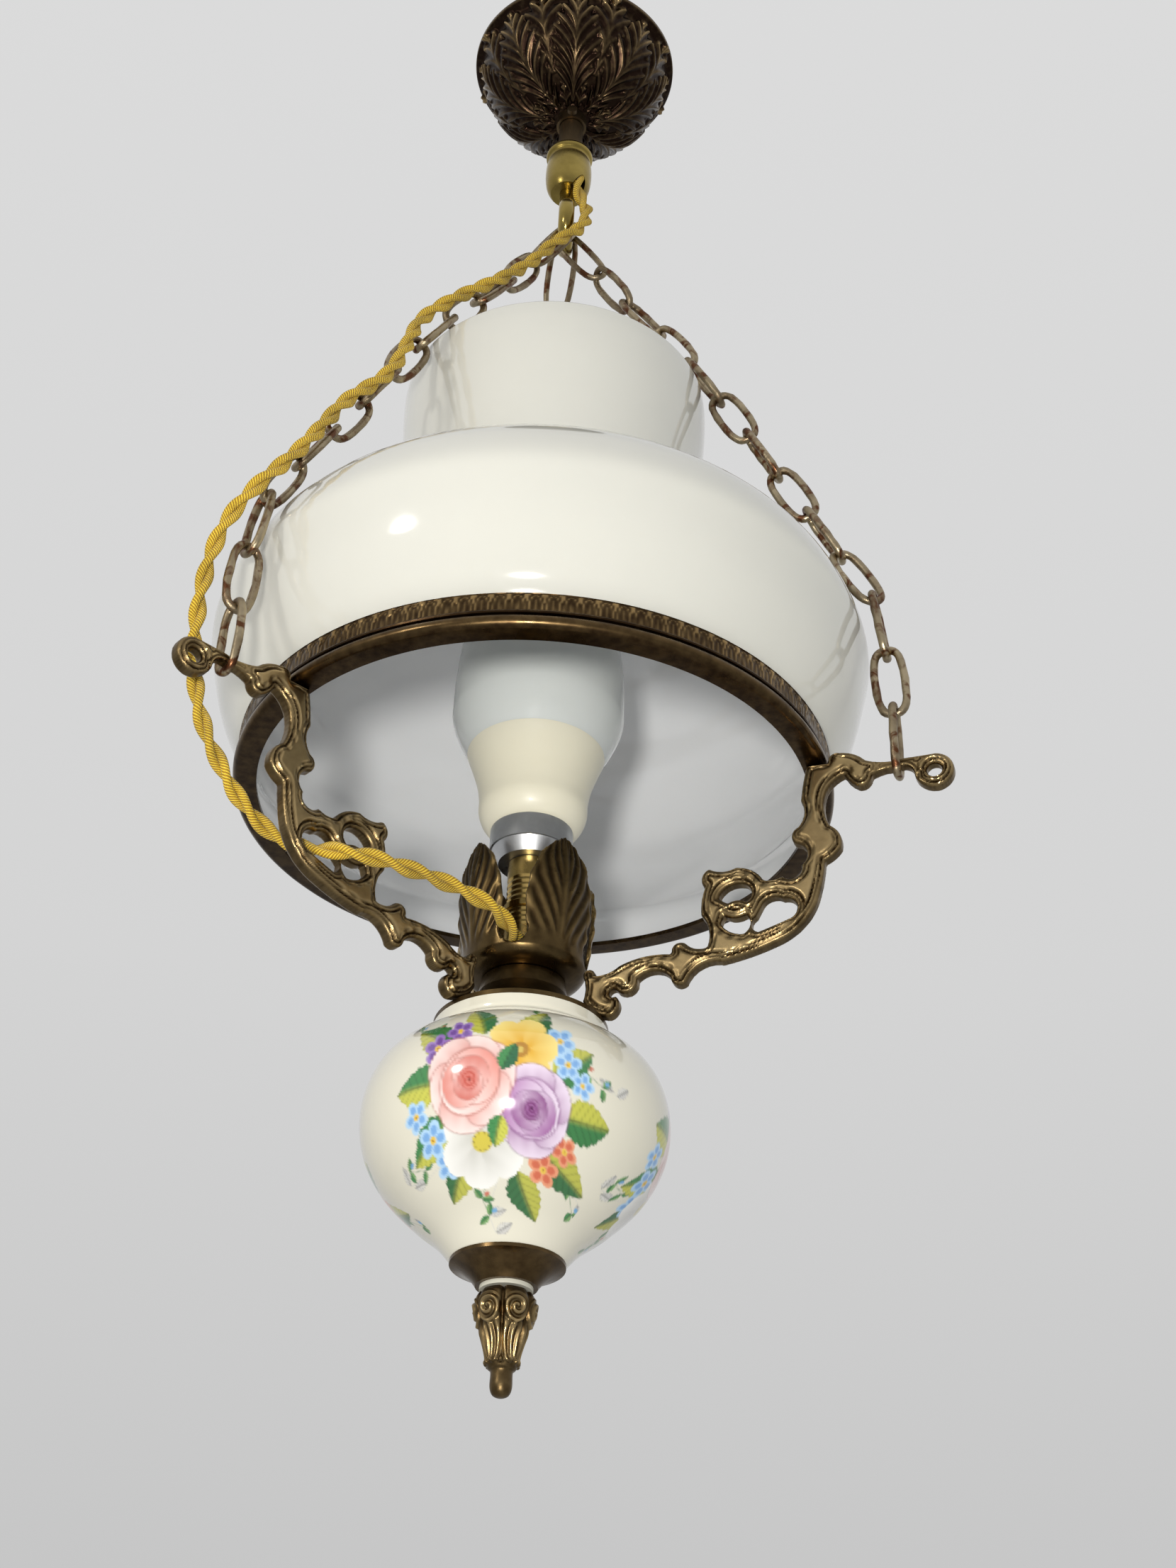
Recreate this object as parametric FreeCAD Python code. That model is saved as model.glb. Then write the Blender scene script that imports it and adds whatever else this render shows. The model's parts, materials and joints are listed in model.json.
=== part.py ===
# Pendant light: a gallery ring with three cast arms hangs on three chains from a hook under the
# ceiling canopy and carries a glass shade, a lampholder with a lamp, and a porcelain drop below.
# All lengths are millimetres. The origin is on the ceiling, on the lamp's own axis, with +Z up.
import FreeCAD, Part
import math
import os

Vector = FreeCAD.Vector

# Clearances and overruns that every piece shares.
fit_gap = 0.2
body_gap = 0.3
overrun = 5.0
arc_least_bulge = 0.02

# Ceiling hook: a screw hook driven up into the ceiling, its bend in the XZ plane.
ceiling_shank_r = 2.5
ceiling_shank_length = 28.0
ceiling_stop_r = 5.0
ceiling_stop_height = 1.5
ceiling_wire_r = 2.5
ceiling_bend_r = 8.5
ceiling_hook_drop = 24.5
ceiling_hook_neck = 1.5
ceiling_tip_angle = 25.0

# Stem: a ring on a tube, which carries the knob and the hook for the chains.
stem_ring_wire_r = 2.0
stem_ring_r = 7.5
stem_tube_r = 6.2
stem_tube_wall = 1.2
stem_top_drop = 36.5
stem_plug_depth = 8.0
knob_top_drop = 75.0
knob_height = 29.0
knob_proud = 5.8
knob_r = stem_tube_r + knob_proud
knob_outline_shares = (
    (0.94, 0.00), (1.00, 0.06), (0.94, 0.13), (0.89, 0.17), (0.92, 0.23), (0.97, 0.38), (0.98, 0.52),
    (0.97, 0.66), (0.93, 0.80), (0.85, 0.91), (0.72, 1.00),
)
knob_stem_socket = 5.0
knob_cord_x = 5.0
knob_cord_y = -5.6
knob_cord_depth = 9.0

# Hook for the chains: its bend is in the YZ plane.
chain_hook_wire_r = 3.95
chain_hook_bend_r = 11.0
chain_hook_drop = 36.0
chain_hook_neck = 3.0
chain_hook_socket = 9.0
chain_hook_tip_angle = 30.0

# Canopy: a bowl with a rolled rim, held up by a collar with a set screw.
canopy_r = 53.0
canopy_depth = 41.2
canopy_gap = 4.8
canopy_wall = 1.6
canopy_outline_shares = (
    (1.000, 0.000), (0.992, 0.075), (0.930, 0.120), (0.905, 0.230), (0.860, 0.400), (0.770, 0.590),
    (0.640, 0.760), (0.470, 0.890), (0.300, 0.965), (0.160, 1.000),
)
collar_wall = 1.3
collar_r = stem_tube_r + body_gap + collar_wall
collar_height = 6.0
collar_screw_r = 1.5
collar_screw_head_r = 2.6
collar_screw_head = 2.4
block_length = 22.0
block_width = 9.0
block_height = 9.0
block_seat_share = 0.134
block_bore_share = 0.4
block_well_share = 0.5
block_offset = 19.0
block_poles = 2
block_bore_r = 2.2
block_screw_r = 1.6
block_screw_head_r = 2.2
block_screw_head = 1.2
block_screw_length = 3.2

# Chains: elongated faceted links, a longer one at the top of each chain.
chain_angles = {"right": -20.6, "left": -140.6, "back": 99.4}
chain_links = 13
link_wire_r = 1.5
link_pitch = 29.5
link_width = 12.5
link_end_width_share = 0.42
link_end_taper_share = 0.35
link_facets = 8
top_link_extra = 9.0
link_slack = 0.3
link_roll_angles = (90.0, 0.0, 90.0, 0.0, 90.0, 0.0, 90.0, 0.0, 90.0, 30.0, 90.0, 0.0, 90.0)
roll_fade_links = 4
# Where each chain's top link sits round the hook's bend, in degrees from its lowest point.
hook_place_angles = {"left": -49.0, "right": 0.0, "back": 49.0}
chain_rim_gap = 2.4
chain_rim_share = 1.005
chain_dome_gap = 7.2
chain_dome_share = 0.335

# Glass shade: a wide dome below a narrow flared neck.
shade_r = 140.7
shade_height = 222.7
shade_wall = 3.0
shade_outline_shares = (
    (0.852, 0.000), (0.852, 0.034), (0.8535, 0.0625), (0.897, 0.098), (0.954, 0.170),
    (0.990, 0.255), (1.000, 0.302), (0.972, 0.358), (0.934, 0.401), (0.881, 0.437),
    (0.817, 0.463), (0.759, 0.486), (0.709, 0.513), (0.652, 0.537), (0.588, 0.556),
    (0.508, 0.583), (0.466, 0.620), (0.465, 0.700), (0.481, 0.800), (0.498, 0.890),
    (0.503, 0.960), (0.499, 1.000),
)

# Gallery ring: an embossed band over a rounded bead, with a ledge for the glass.
ring_wall = 1.4
ring_glass_gap = 0.7
ring_inner_r = shade_r * shade_outline_shares[0][0] + ring_glass_gap
ring_r = ring_inner_r + ring_wall
ring_height = 15.5
ring_band_height = 9.6
ring_band_proud = 1.2
ring_bead_r = 2.9
ring_bead_proud = 2.0
ring_ledge_width = 6.6
ring_ledge_r = ring_inner_r - ring_ledge_width
ring_ledge_thickness = 2.0

# Arms: castings in upright planes, one under each chain, thickest along the middle of each stroke.
arm_thickness = 8.0
arm_edge_thickness = 5.6
arm_edge_width = 1.3
arm_seat_inset = 1.8
arm_seat_inner_r = ring_ledge_r + arm_seat_inset
arm_seat_overhang = 2.6
arm_seat_outer_r = ring_r + arm_seat_overhang
arm_bar_offset = 27.4
arm_bar_reach = arm_seat_outer_r + arm_bar_offset
arm_bar_width = 5.0
arm_bar_half_length = 8.0
arm_bar_bottom_share = 0.384
arm_eye_offset = 14.5
arm_eye_reach = arm_bar_reach + arm_eye_offset
arm_eye_hole_r = 3.0
arm_eye_share = 0.567
arm_head_depth = 18.2
arm_foot_length = 16.0
arm_foot_height = 24.0
arm_foot_share = 0.745
# The outline and the openings of an arm. A point's first number lies between two places along the
# reach: 0 is the foot's inner end, 1 its outer end, 2 the ring's seat, 3 the chain's bar and 4 the
# eye. Its second lies between two depths: 0 is the ring's bottom, 1 the head's, 2 the foot's top
# and 3 the neck's bottom.
arm_top_shares = (
    (2.023, -0.165), (2.187, -0.229), (2.345, -0.174), (2.546, 0.055), (2.710, 0.146), (3.198, 0.156),
    (3.600, 0.156), (4.002, 0.146), (4.381, 0.274), (4.530, 0.567), (4.381, 0.869), (4.002, 0.997),
    (3.623, 0.869), (3.450, 0.567), (3.347, 0.403), (2.983, 0.384), (2.770, 0.393), (2.631, 0.476),
    (2.570, 0.659), (2.436, 0.714), (2.315, 0.567), (2.236, 0.348), (2.120, 0.439), (1.988, 0.732),
    (1.974, 1.056), (1.998, 1.177), (2.139, 1.258), (2.145, 1.352), (2.017, 1.411), (1.970, 1.438),
    (1.960, 1.541), (1.926, 1.727), (1.844, 1.886), (1.736, 1.974), (1.600, 2.080), (1.476, 2.163),
    (1.344, 2.260), (1.308, 2.448), (1.260, 2.482), (1.232, 2.344), (1.158, 2.184), (1.072, 2.295),
    (1.016, 2.524), (0.884, 2.468), (0.748, 2.420), (0.842, 2.552), (0.915, 2.774), (0.696, 2.912),
)
arm_inner_shares = (
    (0.197, 2.767), (0.010, 2.572), (0.062, 2.330), (-0.001, 2.135), (0.103, 2.011), (0.291, 2.135),
    (0.499, 2.135), (0.905, 2.011), (1.124, 1.956), (1.236, 1.966), (1.266, 1.891), (1.308, 1.910),
    (1.356, 1.950), (1.404, 1.950), (1.414, 1.851), (1.376, 1.716), (1.378, 1.595), (1.394, 1.514),
    (1.378, 1.438), (1.416, 1.382), (1.466, 1.411), (1.544, 1.398), (1.616, 1.428), (1.674, 1.514),
    (1.728, 1.525), (1.768, 1.506), (1.814, 1.535), (1.856, 1.446), (1.876, 1.320), (1.832, 1.277),
    (1.814, 1.217), (1.844, 1.164), (1.864, 1.123), (1.862, 0.878), (1.876, 0.412),
)
arm_hole_shares = (
    ((1.460, 1.611), (1.504, 1.535), (1.564, 1.522), (1.616, 1.578), (1.596, 1.659), (1.552, 1.638),
     (1.504, 1.654)),
    ((1.484, 1.735), (1.536, 1.767), (1.592, 1.751), (1.610, 1.810), (1.578, 1.886), (1.508, 1.853),
     (1.470, 1.794)),
    ((1.664, 1.708), (1.704, 1.654), (1.766, 1.670), (1.828, 1.719), (1.800, 1.816), (1.716, 1.856),
     (1.648, 1.886), (1.616, 1.837), (1.640, 1.772)),
)

# Leaf cup: four pointed leaves that rise round the lampholder.
cup_r = 27.5
cup_height = 57.0
cup_wall = 1.8
cup_floor_drop = 82.0
cup_leaves = 4
cup_notch_angle = -102.0
cup_notch_half_width = 5.4
cup_notch_floor = 6.0
cup_tip_share = 0.92
# The side of a notch from its round foot to a leaf's tip: shares of its half width and of the cup's height.
cup_notch_side_shares = ((1.10, 0.60), (1.70, 0.78), (2.65, 0.93))
cup_outline_shares = (
    (0.600, 0.000), (0.800, 0.030), (0.905, 0.090), (0.940, 0.240), (0.985, 0.450), (1.000, 0.600),
    (0.985, 0.780), (0.950, 0.900), (0.910, 1.000),
)

# Porcelain body: an onion shape with a raised ring at the top.
body_r = 58.5
body_height = 93.0
body_wall = 4.0
body_outline_shares = (
    (0.581, 1.000), (0.585, 0.960), (0.590, 0.935), (0.680, 0.900), (0.840, 0.830), (0.950, 0.730),
    (1.000, 0.590), (0.968, 0.440), (0.850, 0.300), (0.665, 0.180), (0.480, 0.085), (0.360, 0.000),
)

# Neck: a spun flare between the leaf cup and the porcelain.
neck_height = 22.0
neck_flange_r = body_r * body_outline_shares[0][0]
neck_wall = 1.4
neck_outline_shares = (
    (0.485, 1.000), (0.500, 0.860), (0.520, 0.700), (0.600, 0.480), (0.740, 0.260), (0.900, 0.145),
    (1.000, 0.090), (1.000, 0.000),
)

# Bottom cup, gasket and finial.
bottom_cup_r = body_r * body_outline_shares[-1][0] + fit_gap
bottom_cup_height = 9.0
bottom_cup_foot_r = 11.4
bottom_cup_lip_share = 0.15
bottom_cup_belly_share = 0.10
gasket_r = 9.8
gasket_height = 1.6
finial_r = 11.6
finial_height = 38.4
finial_outline_shares = (
    (0.800, 1.000), (0.960, 0.940), (1.000, 0.860), (0.930, 0.740), (0.780, 0.620), (0.620, 0.480),
    (0.540, 0.360), (0.560, 0.300), (0.430, 0.265), (0.345, 0.230), (0.345, 0.090), (0.250, 0.010),
    (0.060, 0.000),
)

# Rod that ties the stack together, and its nut.
rod_r = 5.0
rod_wall = 1.2
rod_in_holder = 1.0
rod_tail_share = 0.4
nut_flats = 14.0
nut_height = 4.0

# Lamp: screw cap, aluminium collar, moulded base and globe.
cap_r = 6.9
cap_length = 18.0
cap_thread_turns = 5
cap_thread_depth = 0.6
cap_thread_share = 0.8
cap_insulator_height = 3.0
cap_contact_r = 2.4
cap_contact_height = 1.4
lamp_collar_r = 17.0
lamp_collar_height = 15.3
lamp_collar_foot_r = 13.0
lamp_collar_step_share = 0.35
lamp_collar_taper_share = 0.95
lamp_collar_wall = 1.2
lamp_base_wall = 2.0
board_thickness = 1.5
lamp_base_height = 38.0
lamp_base_r = 28.9
lamp_base_outline_shares = (
    (0.560, 0.000), (0.640, 0.040), (0.720, 0.120), (0.775, 0.240), (0.785, 0.420), (0.830, 0.620),
    (0.920, 0.840), (1.000, 1.000),
)
globe_r = 36.5
globe_height = 91.0
globe_wall = 1.2
globe_outline_shares = (
    (0.780, 0.000), (0.900, 0.090), (0.985, 0.180), (1.000, 0.260), (0.985, 0.480), (0.930, 0.640),
    (0.780, 0.820), (0.500, 0.950), (0.040, 1.000),
)

# Lampholder: a brass tube with screwed rings, and the inner parts that take the lamp's cap.
holder_wall = 0.7
sleeve_wall = 0.6
sleeve_gap = 0.2
cap_gap = 0.4
holder_r = cap_r + cap_gap + sleeve_wall + sleeve_gap + holder_wall
holder_top_drop = 27.6
holder_length = 35.8
holder_thread_share = 0.34
holder_thread_turns = 5
holder_thread_depth = 0.4
holder_ring_proud = 1.0
holder_ring_r = holder_r + holder_ring_proud
holder_ring_height = 2.4
holder_stack_proud = 0.5
holder_stack_r = holder_r + holder_stack_proud
holder_stack_height = 9.0
holder_stack_rings = 4
holder_stack_groove = 0.25
holder_base_height = 5.0
holder_base_foot_r = 6.4
holder_base_rim_share = 0.2
holder_base_wrap = 3.7
core_height = 6.0
sleeve_length = 23.0
holder_contact_r = 3.0
holder_contact_thickness = 0.6
holder_floor = 2.0

# Cord: a silk covered flex. It leaves the knob beside the hook, follows the left chain down to its
# arm, turns in through the arm's scrollwork and ends under the lampholder, in a notch of the leaf cup.
cord_r = 3.45
cord_bend_share = 0.45
# Corners of the route that was chosen by hand, with heights from the knob's underside.
cord_top_route = ((5.0, -5.6, 8.0), (5.0, -5.6, -6.0), (10.5, -8.65, -18.8))
# The rest of the route, with heights from the ring's bottom face.
cord_route = (
    (10.0, -11.8, 349.6), (9.5, -15.0, 338.4), (2.5, -19.5, 327.4), (-6.5, -25.0, 312.4),
    (-14.5, -29.5, 294.4), (-30.0, -41.5, 267.4), (-47.0, -51.0, 245.4), (-63.0, -59.0, 221.4),
    (-66.0, -69.0, 194.4), (-72.0, -76.0, 166.9), (-87.0, -85.5, 144.4), (-95.0, -93.5, 118.9),
    (-103.5, -101.0, 95.4), (-115.5, -105.5, 75.4), (-126.5, -102.5, 56.9), (-131.0, -98.5, 33.9),
    (-132.0, -93.0, 11.9), (-130.0, -89.0, -7.6), (-125.0, -84.0, -25.6), (-117.5, -78.5, -38.6),
    (-109.5, -70.5, -49.5), (-92.0, -59.5, -62.0), (-66.0, -70.3, -68.5), (-46.0, -61.0, -68.6),
    (-33.5, -53.0, -68.4), (-22.0, -46.0, -69.3), (-11.5, -38.5, -71.1), (-4.5, -22.0, -72.2),
    (-1.0, -5.5, -72.4),
)


def export(shape, name):
    shape.exportStep("parts/" + name + ".step")
    print(name, "solids", len(shape.Solids), "volume", round(shape.Volume), "valid", shape.isValid())


def group(solids):
    return Part.Compound(solids)


def fused(solids):
    return solids[0].fuse(solids[1:]).removeSplitter()


def cylinder(radius, bottom, top):
    return Part.makeCylinder(radius, top - bottom, Vector(0, 0, bottom))


def tube(radius, bore, bottom, top):
    return cylinder(radius, bottom, top).cut(cylinder(bore, bottom - overrun, top + overrun))


def ring_points(outline, radius, bottom, height):
    return [Vector(radius * r, 0, bottom + height * z) for r, z in outline]


def inset_points(points, wall):
    # The same outline moved to its left by one wall, as seen along the direction of the points.
    moved = []
    for index, point in enumerate(points):
        before = points[max(index - 1, 0)]
        after = points[min(index + 1, len(points) - 1)]
        along = (after - before).normalize()
        moved.append(point + Vector(-along.z, 0, along.x) * wall)
    return moved


def curved(points):
    # Arcs, each through three points of the outline, and a line where the points are in line.
    edges = []
    for index in range(0, len(points) - 2, 2):
        first, middle, last = points[index:index + 3]
        bulge = (middle - first).cross(last - middle).Length / (last - first).Length
        if bulge > arc_least_bulge:
            edges.append(Part.Arc(first, middle, last).toShape())
        else:
            edges += polygon_edges([first, last])
    if len(points) % 2 == 0:
        edges.append(Part.makeLine(points[-2], points[-1]))
    return edges


def polygon_edges(points):
    return [Part.makeLine(a, b) for a, b in zip(points, points[1:])]


def revolved(edges):
    face = Part.Face(Part.Wire(edges))
    solid = face.revolve(Vector(0, 0, 0), Vector(0, 0, 1), 360)
    if solid.Volume < 0:
        solid.reverse()
    return solid


def turned(points):
    # A solid turned from a closed outline of straight lines.
    return revolved(polygon_edges(points + points[:1]))


def at_azimuth(shape, degrees):
    turned_shape = shape.copy()
    turned_shape.rotate(Vector(0, 0, 0), Vector(0, 0, 1), degrees)
    return turned_shape


def wire_sweep(edges, radius):
    path = Part.Wire(edges)
    start = path.Edges[0].valueAt(path.Edges[0].FirstParameter)
    along = path.Edges[0].tangentAt(path.Edges[0].FirstParameter)
    section = Part.Wire(Part.makeCircle(radius, start, along))
    return path.makePipeShell([section], True, False)


def arc(centre, radius, start_angle, end_angle, across, up):
    # An arc in the plane of the unit vectors across and up, with its angles in degrees.
    def on_circle(angle):
        turn = math.radians(angle)
        return centre + across * (radius * math.cos(turn)) + up * (radius * math.sin(turn))
    middle = (start_angle + end_angle) / 2
    return Part.Arc(on_circle(start_angle), on_circle(middle), on_circle(end_angle)).toShape()


def question_hook(top, neck, lowest, bend_r, tip_angle, across):
    # The centre line of a hook: down, out to one side, and round under its own shank.
    up = Vector(0, 0, 1)
    start = top - neck
    centre = lowest + bend_r
    height = start - centre
    shoulder_r = (height * height - bend_r * bend_r) / (2 * bend_r)
    shoulder_angle = math.degrees(math.asin(height / (shoulder_r + bend_r)))
    bend_start = 180 - shoulder_angle
    edges = [Part.makeLine(up * top, up * start)]
    edges.append(arc(across * -shoulder_r + up * start, shoulder_r, 0, -shoulder_angle, across, up))
    edges.append(arc(up * centre, bend_r, bend_start, 360 + tip_angle, across, up))
    return edges


# Heights of the stem's pieces below the ceiling.
stem_pivot_z = -ceiling_hook_drop
knob_top_z = -knob_top_drop
knob_bottom_z = knob_top_z - knob_height
chain_hook_z = knob_bottom_z - chain_hook_drop


def make_ceiling_hook():
    shank = cylinder(ceiling_shank_r, 0, ceiling_shank_length)
    stop = cylinder(ceiling_stop_r, -ceiling_stop_height, 0)
    bend = question_hook(-ceiling_stop_height, ceiling_hook_neck, stem_pivot_z, ceiling_bend_r,
                         ceiling_tip_angle, Vector(1, 0, 0))
    return fused([shank, stop, wire_sweep(bend, ceiling_wire_r)])


def make_stem_loop():
    ring_z = stem_pivot_z + ceiling_wire_r + stem_ring_wire_r + body_gap - stem_ring_r
    ring = Part.makeTorus(stem_ring_r, stem_ring_wire_r, Vector(0, 0, ring_z), Vector(1, 0, 0))
    shoulder_z = -stem_top_drop
    neck_top = ring_z - stem_ring_r
    neck = cylinder(stem_ring_wire_r, shoulder_z, neck_top)
    plug = cylinder(stem_tube_r - stem_tube_wall - 2 * fit_gap, shoulder_z - stem_plug_depth, shoulder_z)
    cap = cylinder(stem_tube_r, shoulder_z, shoulder_z + stem_ring_wire_r)
    return fused([ring, neck, plug, cap])


def make_stem_tube():
    bottom = knob_top_z - knob_stem_socket
    return tube(stem_tube_r, stem_tube_r - stem_tube_wall, bottom, -stem_top_drop)


def make_knob():
    outline = [Vector(knob_r * r, 0, knob_top_z - knob_height * z) for r, z in knob_outline_shares]
    edges = curved(outline)
    edges += polygon_edges([outline[-1], Vector(0, 0, knob_bottom_z), Vector(0, 0, knob_top_z),
                            outline[0]])
    knob = revolved(edges)
    socket = cylinder(stem_tube_r + fit_gap / 2, knob_top_z - knob_stem_socket, knob_top_z + overrun)
    hook_bore = cylinder(chain_hook_wire_r + fit_gap / 2, knob_bottom_z - overrun,
                         knob_bottom_z + chain_hook_socket)
    cord_bore = cylinder(cord_r + fit_gap, knob_bottom_z - overrun, knob_bottom_z + knob_cord_depth)
    cord_bore.translate(Vector(knob_cord_x, knob_cord_y, 0))
    return knob.cut(socket).cut(hook_bore).cut(cord_bore)


def make_chain_hook():
    edges = question_hook(knob_bottom_z + chain_hook_socket, chain_hook_socket + chain_hook_neck,
                          chain_hook_z, chain_hook_bend_r, chain_hook_tip_angle, Vector(0, 1, 0))
    return wire_sweep(edges, chain_hook_wire_r)


def make_canopy():
    top = -canopy_gap
    outline = ring_points(canopy_outline_shares, canopy_r, top, -canopy_depth)
    inner = inset_points(outline, -canopy_wall)
    bore = stem_tube_r + body_gap
    inner[0] = Vector(inner[0].x, 0, top)
    floor = outline[-1].z
    edges = curved(outline)
    edges += polygon_edges([outline[-1], Vector(bore, 0, floor), Vector(bore, 0, floor + canopy_wall),
                            inner[-1]])
    edges += curved(inner[::-1])
    edges += polygon_edges([inner[0], outline[0]])
    return revolved(edges)


canopy_floor_z = -canopy_gap - canopy_depth
collar_top_z = canopy_floor_z
collar_bottom_z = collar_top_z - collar_height


def make_collar():
    ring = tube(collar_r, stem_tube_r + body_gap, collar_bottom_z, collar_top_z)
    bore = Part.makeCylinder(collar_screw_r + fit_gap / 2, collar_r + overrun,
                             Vector(0, 0, (collar_top_z + collar_bottom_z) / 2), Vector(0, -1, 0))
    return ring.cut(bore)


def make_collar_screw():
    middle = (collar_top_z + collar_bottom_z) / 2
    tip = stem_tube_r + body_gap
    out = Vector(0, -1, 0)
    shank_length = collar_r - tip + fit_gap
    shank = Part.makeCylinder(collar_screw_r, shank_length, out * tip + Vector(0, 0, middle), out)
    head_start = out * (collar_r + fit_gap) + Vector(0, 0, middle)
    head = Part.makeCylinder(collar_screw_head_r, collar_screw_head, head_start, out)
    return fused([shank, head])


block_floor_z = canopy_floor_z + canopy_wall + canopy_depth * block_seat_share


def pole_places():
    step = block_length / block_poles
    return [step * pole + (step - block_length) / 2 for pole in range(block_poles)]


def make_terminal_block():
    block = Part.makeBox(block_width, block_length, block_height,
                         Vector(block_offset - block_width / 2, -block_length / 2, block_floor_z))
    top = block_floor_z + block_height
    bore_start = block_offset - block_width / 2 - overrun
    bore_z = block_floor_z + block_height * block_bore_share
    for y in pole_places():
        bore = Part.makeCylinder(block_bore_r, block_width + 2 * overrun, Vector(bore_start, y, bore_z),
                                 Vector(1, 0, 0))
        well = cylinder(block_screw_r + fit_gap, top - block_height * block_well_share, top + overrun)
        well.translate(Vector(block_offset, y, 0))
        block = block.cut(bore).cut(well)
    return block


def make_terminal_screws():
    top = block_floor_z + block_height
    screws = []
    for y in pole_places():
        shank = cylinder(block_screw_r, top - block_screw_length, top)
        head = cylinder(block_screw_head_r, top, top + block_screw_head)
        screw = fused([shank, head])
        screw.translate(Vector(block_offset, y, 0))
        screws.append(screw)
    return group(screws)


# Chain geometry. The joints of a chain are found upwards from its arm, along a taut line over the
# widest part of the shade and its rim, and they fix how far the ring hangs below the hook.
link_joint = link_wire_r + link_slack / 2
link_span = link_pitch + 2 * link_joint
shade_seat = ring_ledge_thickness + body_gap
bar_bottom = -arm_head_depth * arm_bar_bottom_share
link_end_half = link_width / 2 * link_end_width_share
link_taper = link_width * link_end_taper_share
link_taper_angle = math.atan2(link_taper, link_width / 2 - link_end_half)
# The last link's lower end is narrower than the bar, so its slopes meet the bar's lower corners.
link_flat_half = link_end_half - link_wire_r * math.tan(link_taper_angle / 2)
bar_sink = max(0.0, arm_bar_width / 2 - link_flat_half) * math.tan(link_taper_angle)
last_wire = bar_bottom - bar_sink - link_wire_r - fit_gap / 2
shade_rim_r = shade_r * shade_outline_shares[-2][0]


def stepped(start, route, step):
    # The next point that lies one step away from the start, further along the route.
    before = start
    for index, corner in enumerate(route):
        if math.dist(corner, start) >= step:
            low, high = 0.0, 1.0
            for _ in range(50):
                share = (low + high) / 2
                point = [a + (b - a) * share for a, b in zip(before, corner)]
                if math.dist(point, start) < step:
                    low = share
                else:
                    high = share
            return point, route[index:]
        before = corner
    return list(route[-1]), route[-1:]


def chain_joints(drop):
    # Joints from the arm up, as reach and height above the ring's bottom face.
    dome = [shade_r + chain_dome_gap, shade_seat + shade_height * chain_dome_share]
    rim = [shade_rim_r + chain_rim_gap, shade_seat + shade_height * chain_rim_share]
    joints = [[arm_bar_reach, last_wire + link_span - link_joint]]
    route = [dome, rim, [0.0, drop]]
    for _ in range(chain_links - 2):
        joint, route = stepped(joints[-1], route, link_pitch)
        joints.append(joint)
    return joints


top_link_reach = link_span + top_link_extra - link_joint - chain_hook_wire_r - link_wire_r - fit_gap / 2


def hanging_drop():
    low, high = shade_height, 2 * shade_height
    for _ in range(50):
        drop = (low + high) / 2
        if math.dist(chain_joints(drop)[-1], [0.0, drop]) < top_link_reach:
            low = drop
        else:
            high = drop
    return drop


ring_drop = hanging_drop()
ring_z = chain_hook_z - ring_drop
print("the ring hangs", round(ring_drop, 2), "below the hook, at", round(ring_z, 2))


def make_link(span):
    # One faceted link, as flat faces between mitred sections at its eight corners.
    half_span = span / 2
    half_width = link_width / 2
    quarter = [(half_span, link_end_half), (half_span - link_taper, half_width)]
    corners = quarter + [(-x, y) for x, y in reversed(quarter)]
    corners += [(-x, -y) for x, y in corners]
    sections = []
    for index, (x, y) in enumerate(corners):
        x0, y0 = corners[index - 1]
        x1, y1 = corners[(index + 1) % len(corners)]
        before = Vector(x - x0, y - y0, 0).normalize()
        after = Vector(x1 - x, y1 - y, 0).normalize()
        outward = Vector(before.y + after.y, -before.x - after.x, 0).normalize()
        stretch = 1 / outward.dot(Vector(before.y, -before.x, 0))
        section = []
        for facet in range(link_facets):
            turn = 2 * math.pi * (facet + 0.5) / link_facets
            reach = link_wire_r / math.cos(math.pi / link_facets)
            wide = outward * (reach * math.cos(turn) * stretch)
            section.append(Vector(x, y, reach * math.sin(turn)) + wide)
        sections.append(section)
    faces = []
    for index, section in enumerate(sections):
        following = sections[(index + 1) % len(sections)]
        for facet in range(link_facets):
            other = (facet + 1) % link_facets
            quad = [section[facet], following[facet], following[other], section[other], section[facet]]
            faces.append(Part.Face(Part.makePolygon(quad)))
    solid = Part.Solid(Part.Shell(faces))
    if solid.Volume < 0:
        solid.reverse()
    return solid


def placed_link(link, centre, along, normal):
    width = normal.cross(along)
    matrix = FreeCAD.Matrix(along.x, width.x, normal.x, centre.x,
                            along.y, width.y, normal.y, centre.y,
                            along.z, width.z, normal.z, centre.z,
                            0, 0, 0, 1)
    copy = link.copy()
    copy.Placement = FreeCAD.Placement(matrix)
    return copy


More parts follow.
